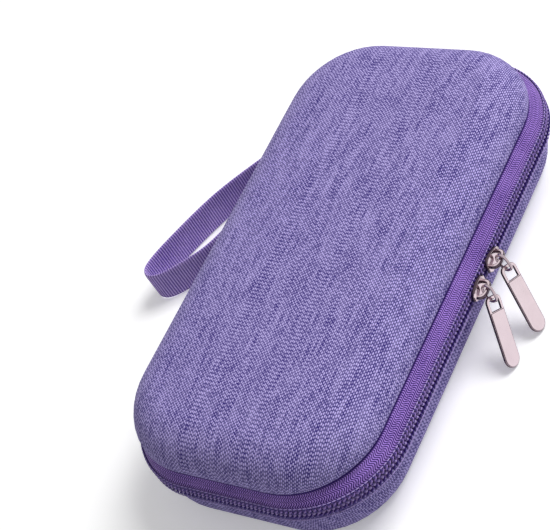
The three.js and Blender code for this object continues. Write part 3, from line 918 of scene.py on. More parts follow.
@dataclass
class Shell:
    """Moulded foam half under its woven cover."""

    half: Half
    form: CaseForm
    height: float
    edge_run: float
    edge_rise: float
    crown: float = 0.0
    edge_steps: int = 20
    crown_steps: int = 10
    lip_steps: int = 5
    plan_step: float = 5 * MM
    lip: float = 1.1 * MM
    softness: float = 0.1 * MM
    dent: float = 28 * MM
    cover_seed: float = 3.0
    lining_seed: float = 9.0

    def skin(self, offset: float, rim_depth: float) -> Profile:
        """Points down one skin, from its cap to its rim.

        Args:
            offset: Distance in from the outer skin.
            rim_depth: Depth of the last point.

        Returns:
            Distances in from the wall and depths from the rim.
        """
        angles = np.linspace(0, math.pi / 2, self.edge_steps + 1)
        inset = offset + (self.edge_run - offset) * (1 - np.sin(angles))
        depth = self.height - offset - (self.edge_rise - offset) * (1 - np.cos(angles))
        return [*zip(inset, depth), (offset, rim_depth)]

    def outer(self) -> Profile:
        """The outer skin with its crown and a rounded lip at the rim.

        Returns:
            Distances in from the wall and depths from the rim.
        """
        innermost = self.form.corner_radius - 2 * self.form.gap
        shares = 1 - np.arange(self.crown_steps) / self.crown_steps
        inset = self.edge_run + (innermost - self.edge_run) * shares
        depth = self.height + self.crown * np.sin(shares * math.pi / 2)
        turn = np.linspace(0, math.pi / 2, self.lip_steps + 1)
        lip = zip(self.lip * (1 - np.cos(turn)), self.lip * (1 - np.sin(turn)))
        return [*zip(inset, depth), *self.skin(0.0, self.lip)[:-1], *lip]

    def tray(self, outer: Profile, inner: Profile, seed: float) -> Piece:
        """Open box between two skins.

        Args:
            outer: Points down the outer skin.
            inner: Points down the inner skin.
            seed: Shifts the uneven places of the surface.

        Returns:
            The piece, whose UV map is the cover laid flat, in metres.
        """
        profile = np.array([*outer, *inner[::-1]])
        anchors, normals, _ = self.form.walk([0, 1, 2, 3], self.plan_step, True)
        radius = self.form.corner_radius - profile[:, 0]
        reach = radius[0] + lengths(profile)
        plan, flat = (anchors + normals * out[:, None, None] for out in (radius, reach))
        height = self.form.rim(self.half) - self.half.value * profile[:, 1]
        rings = raised(plan, height[:, None])
        inside = (profile[:, 1] > self.lip)[:, None]
        rings[..., 2] += self.half.value * self.softness * inside * (1 + ripples(rings, self.dent, seed))
        return Piece().tube(rings, flat)

    def build(self) -> None:
        """Builds the covered shell and its foil lining."""
        name = self.half.body
        shell = self.tray(self.outer(), self.skin(self.form.wall, 0.0), self.cover_seed + self.half.value)
        settle(shell.make(f"{name}_cover", Finishes.cover), name, Slot.COVER, f"{name}_shell")
        near, depth = self.form.lining_inset, self.form.edge_tuck
        outside, inside = self.skin(near, depth), self.skin(near + self.form.lining, depth)
        lining = self.tray(outside, inside, self.lining_seed)
        settle(lining.make(f"{name}_lining", Finishes.foil), name, Slot.FOIL, f"{name}_foil_lining")


class Grower(Nodes):
    """Geometry Nodes tree that grows a mesh along lines, with named inputs."""

    def __init__(self, name: str, **kinds: str) -> None:
        """Starts the tree.

        Args:
            name: The tree's name.
            kinds: Types of its inputs by name, beside the lines and the finish.
        """
        super().__init__(bpy.data.node_groups.new(name, "GeometryNodeTree"))
        faces = self.tree.interface
        for way in ("INPUT", "OUTPUT"):
            faces.new_socket("Geometry", in_out=way, socket_type="NodeSocketGeometry")
        self.sockets = {}
        for key, kind in {**kinds, "Finish": "NodeSocketMaterial"}.items():
            self.sockets[key] = faces.new_socket(key, in_out="INPUT", socket_type=kind).identifier
        self.given = self.node("NodeGroupInput").outputs
        self.line = self.node("GeometryNodeMeshToCurve", {0: self.given["Geometry"]}).outputs[0]

    def end(self, geometry: Socket) -> None:
        """Ends the tree with one plain mesh of the finish.

        Args:
            geometry: What was grown.
        """
        whole = self.node("GeometryNodeRealizeInstances", {0: geometry})
        dress = {"Geometry": whole.outputs[0], "Material": self.given["Finish"]}
        self.node("NodeGroupOutput", {0: self.node("GeometryNodeSetMaterial", dress).outputs[0]})

    def grow(self, name: str, paths: Paths, finish: Finish, **values: object) -> Object:
        """Runs the tree on lines and keeps the result as a plain mesh.

        Args:
            name: Name of the new object.
            paths: Lines of points that it starts from.
            finish: What it is made of.
            values: Values of the tree's inputs by name.

        Returns:
            The new object, at the origin.
        """
        points, edges = [], []
        for path in paths:
            first = len(points)
            points += path.tolist()
            edges += [(i, i + 1) for i in range(first, len(points) - 1)]
        lines = bpy.data.meshes.new(f"{name}_lines")
        lines.from_pydata(points, edges, [])
        guide = linked(f"{name}_lines", lines)
        modifier = guide.modifiers.new("repeat", "NODES")
        modifier.node_group = self.tree
        for key, value in {**values, "Finish": material_of(finish)}.items():
            modifier[self.sockets[key]] = value
        mesh = baked(guide)
        mesh.name = name
        mesh.shade_smooth()
        return linked(name, mesh)


@dataclass(frozen=True)
class Bead:
    """One rounded part of a repeated unit: X along the path, Z upwards, sizes from its middle."""

    centre: tuple[float, float, float]
    half_size: tuple[float, float, float]
    turn: tuple[float, float, float] = (0.0, 0.0, 0.0)


class BeadRow(Grower):
    """Repeats a unit of beads along a path, a Pitch apart and with the unit's Z towards Up."""

    def __init__(self, name: str, beads: Sequence[Bead], segments: int = 8, rings: int = 5) -> None:
        """Builds the tree.

        Args:
            name: The tree's name.
            beads: The unit's rounded parts.
            segments: Faces round each bead.
            rings: Rings down each bead.
        """
        super().__init__(name, Pitch="NodeSocketFloat", Up="NodeSocketVector")
        unit = self.node("GeometryNodeJoinGeometry")
        for bead in beads:
            shape = {"Segments": segments, "Rings": rings, "Radius": 1.0}
            ball = self.node("GeometryNodeMeshUVSphere", shape).outputs["Mesh"]
            sizes = {"Translation": bead.centre, "Rotation": bead.turn, "Scale": bead.half_size}
            moved = self.node("GeometryNodeTransform", {"Geometry": ball, **sizes})
            self.feed(unit.inputs[0], moved.outputs[0])
        steps = {"Curve": self.line, "Length": self.given["Pitch"]}
        points = self.node("GeometryNodeResampleCurve", steps, mode="LENGTH").outputs[0]
        axes = {0: self.node("GeometryNodeInputTangent").outputs[0], 1: self.given["Up"]}
        facing = self.node("FunctionNodeAxesToRotation", axes, primary_axis="X", secondary_axis="Z")
        copies = {"Points": points, "Instance": unit.outputs[0], "Rotation": facing.outputs[0]}
        self.end(self.node("GeometryNodeInstanceOnPoints", copies).outputs[0])


class StrandNet(Grower):
    """Turns lines into round strands of a Radius."""

    def __init__(self) -> None:
        """Builds the tree."""
        super().__init__("strand net", Radius="NodeSocketFloat")
        circle = {"Resolution": 5, "Radius": self.given["Radius"]}
        ring = self.node("GeometryNodeCurvePrimitiveCircle", circle).outputs[0]
        strand = {"Curve": self.line, "Profile Curve": ring, "Fill Caps": True}
        self.end(self.node("GeometryNodeCurveToMesh", strand).outputs[0])


@dataclass(frozen=True)
class Stitch:
    """A row of sewn stitches: each one's length and width, and the distance from one to the next."""

    length: float
    width: float
    pitch: float
    finish: Finish

    def sew(self, name: str, paths: Paths, body: str, slot: Slot, up: Sequence[float] = UP) -> None:
        """Sews along paths.

        Args:
            name: Name of the piece.
            paths: Lines of points.
            body: The body that it moves with.
            slot: Its material slot in the record.
            up: Direction out of the cloth.
        """
        thread = Bead((0.0, 0.0, 0.0), (self.length / 2, self.width / 2, self.width / 2))
        row = BeadRow(name, [thread], 6, 4)
        settle(row.grow(name, paths, self.finish, Pitch=self.pitch, Up=tuple(up)), body, slot)


@dataclass
class Zip:
    """Tapes, toothed coils, bindings and end stops round three sides."""

    form: CaseForm
    tape_thickness: float = 0.8 * MM
    tape_taper: tuple = (0.7 * MM, 0.5 * MM, 0.3 * MM)
    tape_points: int = 13
    tape_tuck: float = 1.2 * MM
    tape_foot: float = 1.1 * MM
    tape_top: float = 4.0 * MM
    rib_height: float = 0.13 * MM
    coil_low: float = 4.7 * MM
    coil_height: float = 2.3 * MM
    coil_depth: float = 2.4 * MM
    coil_reach: float = 0.72 * MM
    tooth_pitch: float = 1.75 * MM
    leg: tuple = (0.5 * MM, 0.52 * MM)
    leg_over: float = 0.3 * MM
    leg_inset: float = 0.6 * MM
    leg_drop: float = 0.25 * MM
    leg_lean: float = 20
    head: tuple = (0.66 * MM, 0.75 * MM, 0.52 * MM)
    head_out: float = 0.45 * MM
    head_lean: float = -15
    cord: tuple = (0.36 * MM, 0.45 * MM, 1.05 * MM)
    cord_inset: float = 0.35 * MM
    cord_rise: float = 0.2 * MM
    cord_lean: float = 46
    lash: tuple = (1.0 * MM, 0.24 * MM, 0.2 * MM)
    base_lash_out: float = 1.05 * MM
    lid_lash_out: float = 0.62 * MM
    lash_shift: float = 0.3 * MM
    lash_below: float = 0.18 * MM
    stop_length: float = 3.8 * MM
    binding_thickness: float = 0.7 * MM
    binding_points: int = 10
    binding_lap: float = 2.2 * MM
    binding_share: float = 0.62
    seam_inset: float = 0.6 * MM
    seam_rise: float = 0.05 * MM
    seam_step: float = 1.0 * MM
    fine_step: float = 0.25 * MM
    stitch: Stitch = Stitch(2.0 * MM, 0.34 * MM, 2.6 * MM, Finishes.thread)

    def sweep(self, half: Half, section: Section, thickness: Array, ribs: float) -> Piece:
        """Band along the zip.

        Args:
            half: The half that it belongs to.
            section: Gives the band's middle line for a flare, as distances out from the rim and past it.
            thickness: Thickness at each point of that line.
            ribs: Height of the ribs across it.

        Returns:
            The piece.
        """
        points, normals, flare = self.form.zip_walk(self.fine_step)
        sections = np.array([section(f) for f in flare])
        along = lengths(points + normals * sections[:, sections.shape[1] // 2, :1])
        rise = lengths(sections[len(sections) // 2])
        rings = []
        for point, normal, line, at in zip(points, normals, sections, along):
            outline = offset_outline(line, thickness + ribs * math.cos(TURN * at / RIB_PITCH))
            height = self.form.rim(half) + half.value * outline[:, 1]
            rings.append(raised(point + normal * outline[:, :1], height))
        return Piece().band(np.array(rings), along, np.concatenate([rise, rise[::-1]]))

    def tape_line(self, flare: float) -> Array:
        """The tape's middle line, from its sewn foot out to the coil and up behind the teeth.

        Args:
            flare: How far the coil stands out from the rim.

        Returns:
            Points as distances out from the rim and past it.
        """
        corners = [
            (-self.tape_tuck, self.form.gap),
            (-self.tape_tuck + self.form.gap, self.tape_foot),
            (flare - self.form.gap, self.tape_top),
            (flare, self.coil_low + self.coil_height + self.form.gap),
        ]
        return resample(corners, self.tape_points)

    def binding_line(self, flare: float) -> Array:
        """The binding's middle line, flat on the rim and then up the inside of the tape.

        Args:
            flare: How far the coil stands out from the rim.

        Returns:
            Points as distances out from the rim and past it.
        """
        foot = np.array([-self.tape_tuck + self.form.gap, self.tape_foot])
        slope = np.array([flare - self.form.gap, self.tape_top]) - foot
        inward = np.array([-slope[1], slope[0]]) / np.linalg.norm(slope)
        away = (self.tape_thickness + self.binding_thickness) / 2 + self.form.gap
        low = self.form.gap + self.binding_thickness / 2
        bend = -self.tape_tuck - self.tape_thickness - self.binding_thickness - self.form.gap
        corners = [
            (-self.form.wall - self.binding_lap, low),
            (bend, low),
            tuple(foot + slope * self.binding_share + inward * away),
        ]
        return resample(corners, self.binding_points)

    def coil_path(self, half: Half) -> Array:
        """The coil's middle line, clear of both end stops. The lid's starts half a tooth on.

        Args:
            half: The half that it belongs to.

        Returns:
            Its points.
        """
        points, normals, flare = self.form.zip_walk(self.fine_step)
        place = points + normals * flare[:, None]
        at = lengths(place)
        shift = self.tooth_pitch / 2 if half is Half.LID else 0.0
        keep = (at >= self.stop_length + shift) & (at <= at[-1] - self.stop_length)
        past = self.coil_low + self.coil_height / 2
        return raised(place[keep], self.form.rim(half) + half.value * past)

    def units(self, half: Half) -> dict[str, list[Bead]]:
        """What repeats at each turn of the coil.

        Args:
            half: The half that it belongs to.

        Returns:
            Two slanting legs, a head that locks between two of the other side, a stroke of the cord that is
            woven over the turn, and a stitch of the thread that sews it to its tape.
        """
        side, height, depth = half.value, self.coil_height / 2, self.coil_depth / 2
        leg = (*self.leg, height + self.leg_over)
        front, lean = self.leg_inset - depth, side * math.radians(self.leg_lean)
        level = -side * self.leg_drop
        head = (0.0, -self.head_out, side * (height + self.coil_reach - self.head[2]))
        stroke = (0.0, self.cord_inset - depth, side * self.cord_rise)
        out = self.base_lash_out if half is Half.BASE else self.lid_lash_out
        lash = (self.lash_shift, -out, -side * (height + self.lash_below))
        return {
            "teeth": [Bead((0.0, way * front, level), leg, (0.0, way * lean, 0.0)) for way in (1, -1)],
            "coil_heads": [Bead(head, self.head, (0.0, math.radians(self.head_lean), 0.0))],
            "coil_cord": [Bead(stroke, self.cord, (0.0, math.radians(self.cord_lean), 0.0))],
            "coil_lashing": [Bead(lash, self.lash)],
        }

    def bands(self, half: Half) -> None:
        """Builds one side's tape and binding.

        Args:
            half: The half that it belongs to.
        """
        name = half.body
        even = np.full(self.tape_points - len(self.tape_taper), self.tape_thickness)
        tape = self.sweep(half, self.tape_line, np.concatenate([even, self.tape_taper]), 0.0)
        settle(tape.make(f"{name}_tape", Finishes.tape), name, Slot.TAPE, f"{name}_zip_tape")
        bound = np.full(self.binding_points, self.binding_thickness)
        binding = self.sweep(half, self.binding_line, bound, self.rib_height)
        made = binding.make(f"{name}_binding", Finishes.binding)
        settle(made, name, Slot.WEBBING, f"{name}_edge_binding")

    def coil(self, half: Half) -> None:
        """Builds one side's coil with its cord and lashing.

        Args:
            half: The half that it belongs to.
        """
        name = half.body
        base = half is Half.BASE
        # Painted light: on the base's side the heads take the pale lashing colour as a painted highlight and
        # the cord a dark copy as painted shade; the lid's cord is the lit copy.
        heads, cord = (Finishes.lashing, Finishes.dark_thread) if base else (Finishes.coil, Finishes.cord)
        finishes = [Finishes.coil, heads, cord, Finishes.lashing]
        slots = [Slot.COIL, Slot.COIL, Slot.TAPE, Slot.TAPE]
        path = self.coil_path(half)
        for (title, unit), finish, slot in zip(self.units(half).items(), finishes, slots):
            row = BeadRow(f"{name} {title}", unit)
            copies = row.grow(f"{name}_{title}", [path], finish, Pitch=self.tooth_pitch, Up=UP)
            settle(copies, name, slot, *([f"{name}_zip_coil"] if title == "teeth" else []))

    def seam(self, half: Half) -> None:
        """Sews one side's binding down.

        Args:
            half: The half that it belongs to.
        """
        points, normals, _ = self.form.zip_walk(self.seam_step)
        inner = points - normals * (self.form.wall + self.seam_inset)
        past = self.form.gap + self.binding_thickness + self.seam_rise
        path = raised(inner, self.form.rim(half) + half.value * past)
        self.stitch.sew(f"{half.body}_binding_stitches", [path], half.body, Slot.WEBBING)

    def build(self) -> None:
        """Builds both sides of the zip and dresses its end stops."""
        for half in Half:
            self.bands(half)
            self.coil(half)
            self.seam(half)
        for end in ("near", "far"):
            stop = frame["nodes"][f"zip_end_stop_{end}"]
            stop.data.materials.clear()
            stop.data.materials.append(material_of(Finishes.metal))


def flat_outline(outlines: Paths, depth: float, bevel: float) -> Mesh:
    """A plate with rounded edges from closed outlines in XY, whose holes follow the outside.

    Args:
        outlines: Closed outlines as lists of points.
        depth: Thickness along Z, from its middle.
        bevel: Radius of the edges.

    Returns:
        The plate as a mesh.
    """
    curve = bpy.data.curves.new("plate", "CURVE")
    curve.dimensions = "2D"
    curve.fill_mode = "BOTH"
    curve.extrude = depth / 2 - bevel
    curve.bevel_depth = bevel
    curve.bevel_resolution = 3
    curve.offset = -bevel
    for outline in outlines:
        spline = curve.splines.new("POLY")
        spline.points.add(len(outline) - 1)
        weight = np.ones((len(outline), 1))
        spline.points.foreach_set("co", np.concatenate([raised(outline, 0.0), weight], 1).ravel())
        spline.use_cyclic_u = True
    mesh = baked(linked("plate", curve))
    bpy.data.curves.remove(curve)
    return mesh


@dataclass
class Pull:
    """One slider with its link and tab, placed by the frame's joints."""

    letter: str
    nose: int
    length: float = 10 * MM
    width: float = 7.2 * MM
    tail_width: float = 5.2 * MM
    corner_cut: float = 1.7 * MM
    plate: float = 1.3 * MM
    plate_edge: float = 0.42 * MM
    inner_length: float = 8.4 * MM
    inner_width: float = 5.6 * MM
    inner_edge: float = 0.35 * MM
    between: float = 3.0 * MM
    web_length: float = 3.6 * MM
    web: float = 0.4 * MM
    web_edge: float = 0.12 * MM
    bail_length: float = 8.4 * MM
    bail_bar: float = 1.3 * MM
    bail_width: float = 1.6 * MM
    bail_centre: float = 2.9 * MM
    bail_edge: float = 0.4 * MM
    bail_sink: float = 0.3 * MM
    bail_power: float = 0.62
    bail_steps: int = 24
    ridge_sink: float = 0.15 * MM
    ridge_height: float = 1.3 * MM
    ridge_low: float = 0.35 * MM
    ridge_setbacks: tuple = (0.4 * MM, 0.7 * MM, 0.9 * MM)
    ridge_shares: tuple = (0.55, 0.9)
    wire: float = 0.55 * MM
    wire_steps: int = 12
    wire_oval: float = 1.05
    wire_shade: float = 0.35
    link_inside: float = 3.2 * MM
    link_play: float = 0.55 * MM
    link_steps: int = 20
    tab_length: float = 26.4 * MM
    tab_width: float = 7.6 * MM
    tab_thickness: float = 1.3 * MM
    tab_bar: float = 1.3 * MM
    tab_head: float = 2.4 * MM
    tab_steps: int = 28
    frame_share: float = 0.72
    window_width: float = 5.0 * MM
    window_length: float = 4.2 * MM
    window_cut: float = 0.7 * MM
    step_inset: float = 0.28 * MM
    step_setback: float = 0.35 * MM
    edge: float = 0.22 * MM
    sharp: float = 50.0

    def hinge(self, part: str, motion: str) -> dict:
        """One of this pull's two hinges, from the frame."""
        name = f"{part}_{self.letter}_{motion}"
        return next(joint for joint in frame["joints"] if joint["name"] == name)

    @property
    def bail_point(self) -> Vector:
        """Middle of the bail's bar."""
        return Vector(self.hinge("link", "swing")["pos_m"])

    @property
    def tab_point(self) -> Vector:
        """Middle of the tab's bar."""
        return Vector(self.hinge("tab", "flap")["pos_m"])

    def frame_of(self, across: Vector, face: Vector, origin: Vector) -> Matrix:
        """Placement with X across, Z towards the outside and Y upwards.

        Args:
            across: Direction of X.
            face: Rough direction of Z.
            origin: Where it is placed.

        Returns:
            The placement.
        """
        x = across.normalized()
        z = (face - x * face.dot(x)).normalized()
        y = z.cross(x)
        return Matrix.Translation(origin) @ Matrix((x, y, z)).transposed().to_4x4()

    def slider(self) -> Object:
        """Plates, web, a ridged tail and the arched bail.

        Returns:
            The piece.
        """
        middle = self.bail_point + Vector((0, self.bail_centre + self.plate / 2, 0))
        place = self.frame_of(Vector((self.nose, 0, 0)), Vector((0, -1, 0)), middle)
        nose, wide, tail, cut = self.length / 2, self.width / 2, self.tail_width / 2, self.corner_cut
        rear = [(-nose, cut - tail), (cut - nose, -tail)]
        lower = np.array([*rear, (0, -wide), (nose - cut, -wide), (nose, cut - wide)])
        outline = np.concatenate([lower, lower[::-1] * (1, -1)])
        box = np.array([(-1, -1), (1, -1), (1, 1), (-1, 1)]) / 2
        inner = box * (self.inner_length, self.inner_width)
        web = box * (self.web_length, self.web)
        behind = self.between + self.plate
        web_x = nose - self.web_length / 2 - self.plate
        reach, top = self.bail_length / 2, self.bail_centre + self.bail_bar / 2 + self.bail_sink
        under = self.arch(reach - self.bail_bar, top - self.bail_bar)
        bail = np.concatenate([self.arch(reach, top), under[::-1]])
        upright = Matrix.Rotation(math.pi / 2, 4, "X")
        piece = Piece()
        for shape, depth, edge, shift, turn in [
            (outline, self.plate, self.plate_edge, (0, 0, 0), Matrix()),
            (inner, self.plate, self.inner_edge, (0, 0, -behind), Matrix()),
            (web, self.between + self.plate / 2, self.web_edge, (web_x, 0, -behind / 2), Matrix()),
            (bail, self.bail_width, self.bail_edge, (0, 0, self.plate / 2 - self.bail_sink), upright),
        ]:
            piece.plate(flat_outline([shape], depth, edge), place @ Matrix.Translation(shift) @ turn)
        piece.add(*self.ridge(place))
        return piece.make(f"zip_slider_{self.letter}_metal", Finishes.metal, self.sharp)

    def arch(self, reach: float, top: float) -> Array:
        """One side of the bail's outline, from foot to foot over the top.

        Args:
            reach: Half of its width.
            top: Its height.

        Returns:
            Its points.
        """
        angles = np.linspace(0, math.pi, self.bail_steps + 1)
        x = np.sign(np.cos(angles)) * np.abs(np.cos(angles)) ** self.bail_power * reach
        return np.stack([x, np.abs(np.sin(angles)) ** self.bail_power * top], -1)

    def ridge(self, place: Matrix) -> tuple[Array, list[list[int]], Array]:
        """A roof-shaped ridge on the tail that runs up to the bail's foot.

        Args:
            place: The slider's placement.

        Returns:
            Points, faces and UV places.
        """
        base, peak = self.plate / 2 - self.ridge_sink, self.plate / 2 + self.ridge_height
        rear, crest, front = self.ridge_setbacks
        nose, foot = -self.length / 2, front - self.bail_length / 2
        narrow, broad = (share * self.tail_width / 2 for share in self.ridge_shares)
        corners = [
            (nose + rear, -narrow, base), (foot, -broad, base), (foot, broad, base),
            (nose + rear, narrow, base), (nose + crest, 0, base + self.ridge_low), (foot, 0, peak),
        ]
        faces = [[0, 1, 5, 4], [3, 4, 5, 2], [0, 4, 3], [1, 2, 5], [0, 3, 2, 1]]
        return np.array([place @ Vector(c) for c in corners]), faces, np.zeros((len(corners), 2))

    def link(self) -> Object:
        """Oval ring of round wire through the bail and the tab's window.

        Returns:
            The piece.
        """
        span = self.tab_point - self.bail_point
        down = span.normalized()
        out = Vector((1, 0, 0)).cross(down)
        out = (out if out.y < 0 else -out).normalized()
        radius = self.link_inside / 2
        high = self.bail_width / 2 + self.link_play - radius
        low = span.length + self.tab_bar / 2 + self.link_play - radius
        bend, steps = radius + self.wire, self.link_steps
        oval = np.concatenate([arc((0, high), bend, 0, 180, steps), arc((0, -low), bend, 180, 360, steps)])
        angles = np.arange(self.wire_steps) / self.wire_steps * TURN
        ahead = np.roll(oval, -1, 0) - np.roll(oval, 1, 0)
        ahead /= np.linalg.norm(ahead, axis=1, keepdims=True)
        side = np.stack([ahead[:, 1], -ahead[:, 0]], -1)
        wide = oval[:, None] + side[:, None] * (self.wire * np.cos(angles))[:, None]
        local = raised(wide, self.wire * self.wire_oval * np.sin(angles))
        points = local @ np.array([out, -down, out.cross(down).normalized()]) + np.array(self.bail_point)
        index = np.arange(len(oval) * self.wire_steps).reshape(-1, self.wire_steps)
        after, turned = np.roll(index, -1, 0), np.roll(index, -1, 1)
        faces = np.stack([index, turned, np.roll(after, -1, 1), after], -1).reshape(-1, 4)
        shade = np.full((index.size, 2), self.wire_shade)
        piece = Piece().add(points.reshape(-1, 3), faces.tolist(), shade)
        return piece.make(f"pull_link_{self.letter}_wire", Finishes.metal)

    def tab(self) -> Object:
        """Flat frame with a window and a raised plate below it.

        Returns:
            The piece.
        """
        across = Vector(self.hinge("tab", "flap")["axis"])
        face = Vector((1, 0, 0)).cross(across)
        place = self.frame_of(across, face if face.y < 0 else -face, self.tab_point)
        half, top, head = self.tab_width / 2, self.tab_bar / 2, self.tab_head
        end = half - self.tab_length
        low = -top - self.window_length
        outline = np.concatenate([
            arc((0, end), half, 180, 360, self.tab_steps),
            arc((half - head, top - head), head, 0, 90),
            arc((head - half, top - head), head, 90, 180),
        ])
        side, cut = self.window_width / 2, self.window_cut
        right = np.array([(side - cut, -top), (side, -top - cut), (side, low)])
        window = np.concatenate([right[:1] * (-1, 1), right, right[:0:-1] * (-1, 1)])
        wide, shoulder = half - self.step_inset, low - self.step_setback
        round_end = arc((0, end), wide, 180, 360, self.tab_steps)
        step = np.concatenate([round_end, [(wide, shoulder), (-wide, shoulder)]])
        piece = Piece()
        piece.plate(flat_outline([outline, window], self.tab_thickness * self.frame_share, self.edge), place)
        piece.plate(flat_outline([step], self.tab_thickness, self.edge), place)
        return piece.make(f"pull_tab_{self.letter}_plate", Finishes.metal, self.sharp)

    def build(self) -> None:
        """Builds the slider, link and tab."""
        letter = self.letter
        settle(self.slider(), f"slider_{letter}", Slot.METAL, f"zip_slider_{letter}")
        settle(self.link(), f"link_{letter}", Slot.METAL, f"pull_link_{letter}")
        settle(self.tab(), f"tab_{letter}", Slot.METAL, f"pull_tab_{letter}")


@dataclass
class WristStrap:
    """Loop of ribbed webbing on edge, its sewn ends and the tab that holds them."""

    form: CaseForm
    width: float = 15 * MM
    thickness: float = 1.3 * MM
    lift: float = 0.5 * MM
    anchor_angle: float = 26.5
    anchor_length: float = 12 * MM
    anchor_height: float = 13.6 * MM
    anchor_thickness: float = 1.4 * MM
    rib_height: float = 0.11 * MM
    edge_steps: tuple = (0.0, 0.25, 0.7, 1.4, 4.0, 7.5)
    edge_round: float = 0.9 * MM
    edge_least: float = 0.08
    selvedge: float = 0.5 * MM
    selvedge_fade: float = 0.7 * MM
    sharp: float = 70.0
    fine_step: float = 0.2 * MM
    span_steps: int = 60
    path_every: int = 5
    anchor_columns: int = 48
    anchor_rows: int = 24
    box_share: float = 0.38
    box_margin: float = 2.2 * MM
    box_rise: float = 0.6
    stitch: Stitch = Stitch(1.5 * MM, 0.32 * MM, 1.9 * MM, Finishes.thread)
    route: tuple = (
        (66, 60.2), (56, 67.6), (33, 82.5), (9, 92.6), (-5, 96.6), (-10.2, 94.6),
        (-10, 89.4), (-4, 82.4), (7, 73.4), (22, 67.4), (40, 63.6), (58, 59.2),
    )

    @property
    def outwards(self) -> Array:
        """Direction out of the case at the anchor, in plan."""
        angle = math.radians(self.anchor_angle)
        return np.array([math.sin(angle), math.cos(angle)])

    @property
    def along(self) -> Array:
        """Direction in which the webbing leaves the anchor, in plan."""
        return np.array([-self.outwards[1], self.outwards[0]])

    @property
    def layer_start(self) -> float:
        """Corner centre to the inside of the inner layer."""
        return self.form.corner_radius + 2 * self.form.gap + self.anchor_thickness

    def layer(self, number: int, gap: float) -> Array:
        """Middle of a sewn layer of the webbing in plan, with a gap between layers."""
        out = self.layer_start + self.thickness / 2 + number * (self.thickness + gap)
        return self.form.corner + self.outwards * out

    def root_end(self, number: int) -> Array:
        """Where a layer of the webbing leaves its stitching, in plan."""
        gap = self.form.gap
        return self.layer(number, gap) + self.along * (self.anchor_length / 2 + gap)

    def centreline(self) -> Array:
        """The free loop's middle line in plan, evenly spaced on a curve through its route.

        Returns:
            Its points.
        """
        route = np.array([self.root_end(1), *(np.array(self.route) * MM), self.root_end(0)])
        padded = np.concatenate([route[:1], route, route[-1:]])
        t = np.linspace(0, 1, self.span_steps, endpoint=False)[:, None]
        spans = []
        for p0, p1, p2, p3 in zip(padded, padded[1:], padded[2:], padded[3:]):
            v0, v1 = (p2 - p0) / 2, (p3 - p1) / 2
            cubic = (2 * p1 - 2 * p2 + v0 + v1) * t**3 + (-3 * p1 + 3 * p2 - 2 * v0 - v1) * t**2
            spans.append(cubic + v0 * t + p1)
        line = np.concatenate([*spans, route[-1:]])
        return spaced(line, round(lengths(line)[-1] / self.fine_step))

    def ribbon(self, line: Array) -> Piece:
        """Ribbed webbing on edge along a line in plan.

        Args:
            line: Points of its middle line.

        Returns:
            The piece.
        """
        at = lengths(line)
        rib = self.rib_height * np.cos(TURN * at / RIB_PITCH)
        low = np.array(self.edge_steps) * MM
        up = np.concatenate([low, self.width - low[-2::-1]])
        edge = np.minimum(up, self.width - up)
        full = self.thickness / 2 - self.rib_height
        half = full * np.sqrt(np.clip(edge / self.edge_round, self.edge_least, 1.0))
        reach = half + rib[:, None] * smooth((edge - self.selvedge) / self.selvedge_fade)
        out = sides(line)[:, None] * reach[..., None]
        plan = np.concatenate([line[:, None] + out, (line[:, None] - out)[:, ::-1]], axis=1)
        across = np.concatenate([up, up[::-1]])
        return Piece().band(raised(plan, across + self.lift), at, across)

    def build(self) -> None:
        """Builds the loop, its sewn ends and the anchor tab."""
        line = self.centreline()
        strap = self.ribbon(line).make("wrist_strap_webbing", Finishes.strap, self.sharp)
        settle(strap, "strap", Slot.WEBBING, "wrist_strap")
        path = raised(line, self.lift + self.width / 2)[::self.path_every]
        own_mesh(strap)
        steps = np.linspace(-0.5, 0.5, round(self.anchor_length / self.fine_step))[:, None]
        sewn = Piece()
        for number in (0, 1):
            start = self.layer(number, self.form.gap / 2)
            part = self.ribbon(start + self.along * steps * self.anchor_length)
            sewn.add(part.points[0], part.faces, part.uvs[0])
        settle(sewn.make("strap_ends", Finishes.strap, self.sharp), "base", Slot.WEBBING, "strap_sewn_end")
        self.box_stitch()
        self.anchor()

    def box_stitch(self) -> None:
        """A box and a cross of thread through the sewn ends."""
        face = self.layer_start + 2 * self.thickness + self.form.gap * self.box_rise
        start = self.form.corner + self.outwards * face
        x = self.box_share * self.anchor_length
        low, high = self.lift + self.box_margin, self.lift + self.width - self.box_margin
        box = [(-x, low), (x, low), (x, high), (-x, high)]
        points = np.array([(*(start + self.along * a), z) for a, z in box])
        runs = [points[list(ends)] for ends in ((0, 1), (1, 2), (2, 3), (3, 0), (0, 2), (1, 3))]
        self.stitch.sew("strap_box_stitches", runs, "base", Slot.WEBBING, (*self.outwards, 0.0))

    def anchor(self) -> None:
        """A short tab of webbing, curved round the corner under the sewn ends."""
        span = self.anchor_length / 2 / self.form.corner_radius
        middle = math.pi / 2 - math.radians(self.anchor_angle)
        angles = middle + np.linspace(span, -span, self.anchor_columns)
        up = np.linspace(self.form.gap, self.form.gap + self.anchor_height, self.anchor_rows)
        rib = self.rib_height * np.cos(TURN * up / RIB_PITCH)
        inside = self.form.corner_radius + self.form.gap
        outside = inside + self.anchor_thickness - self.rib_height + rib
        spin = np.stack([np.cos(angles), np.sin(angles)], -1)[:, None]
        plans = [self.form.corner + spin * radius[:, None] for radius in (outside, np.full(len(up), inside))]
        front, back = (raised(plan, self.form.base_rim - up) for plan in plans)
        piece = Piece().slab(front, back, np.stack(np.meshgrid(up, angles * inside), -1))
        settle(piece.make("strap_anchor", Finishes.strap), "base", Slot.WEBBING, "strap_anchor_tab")


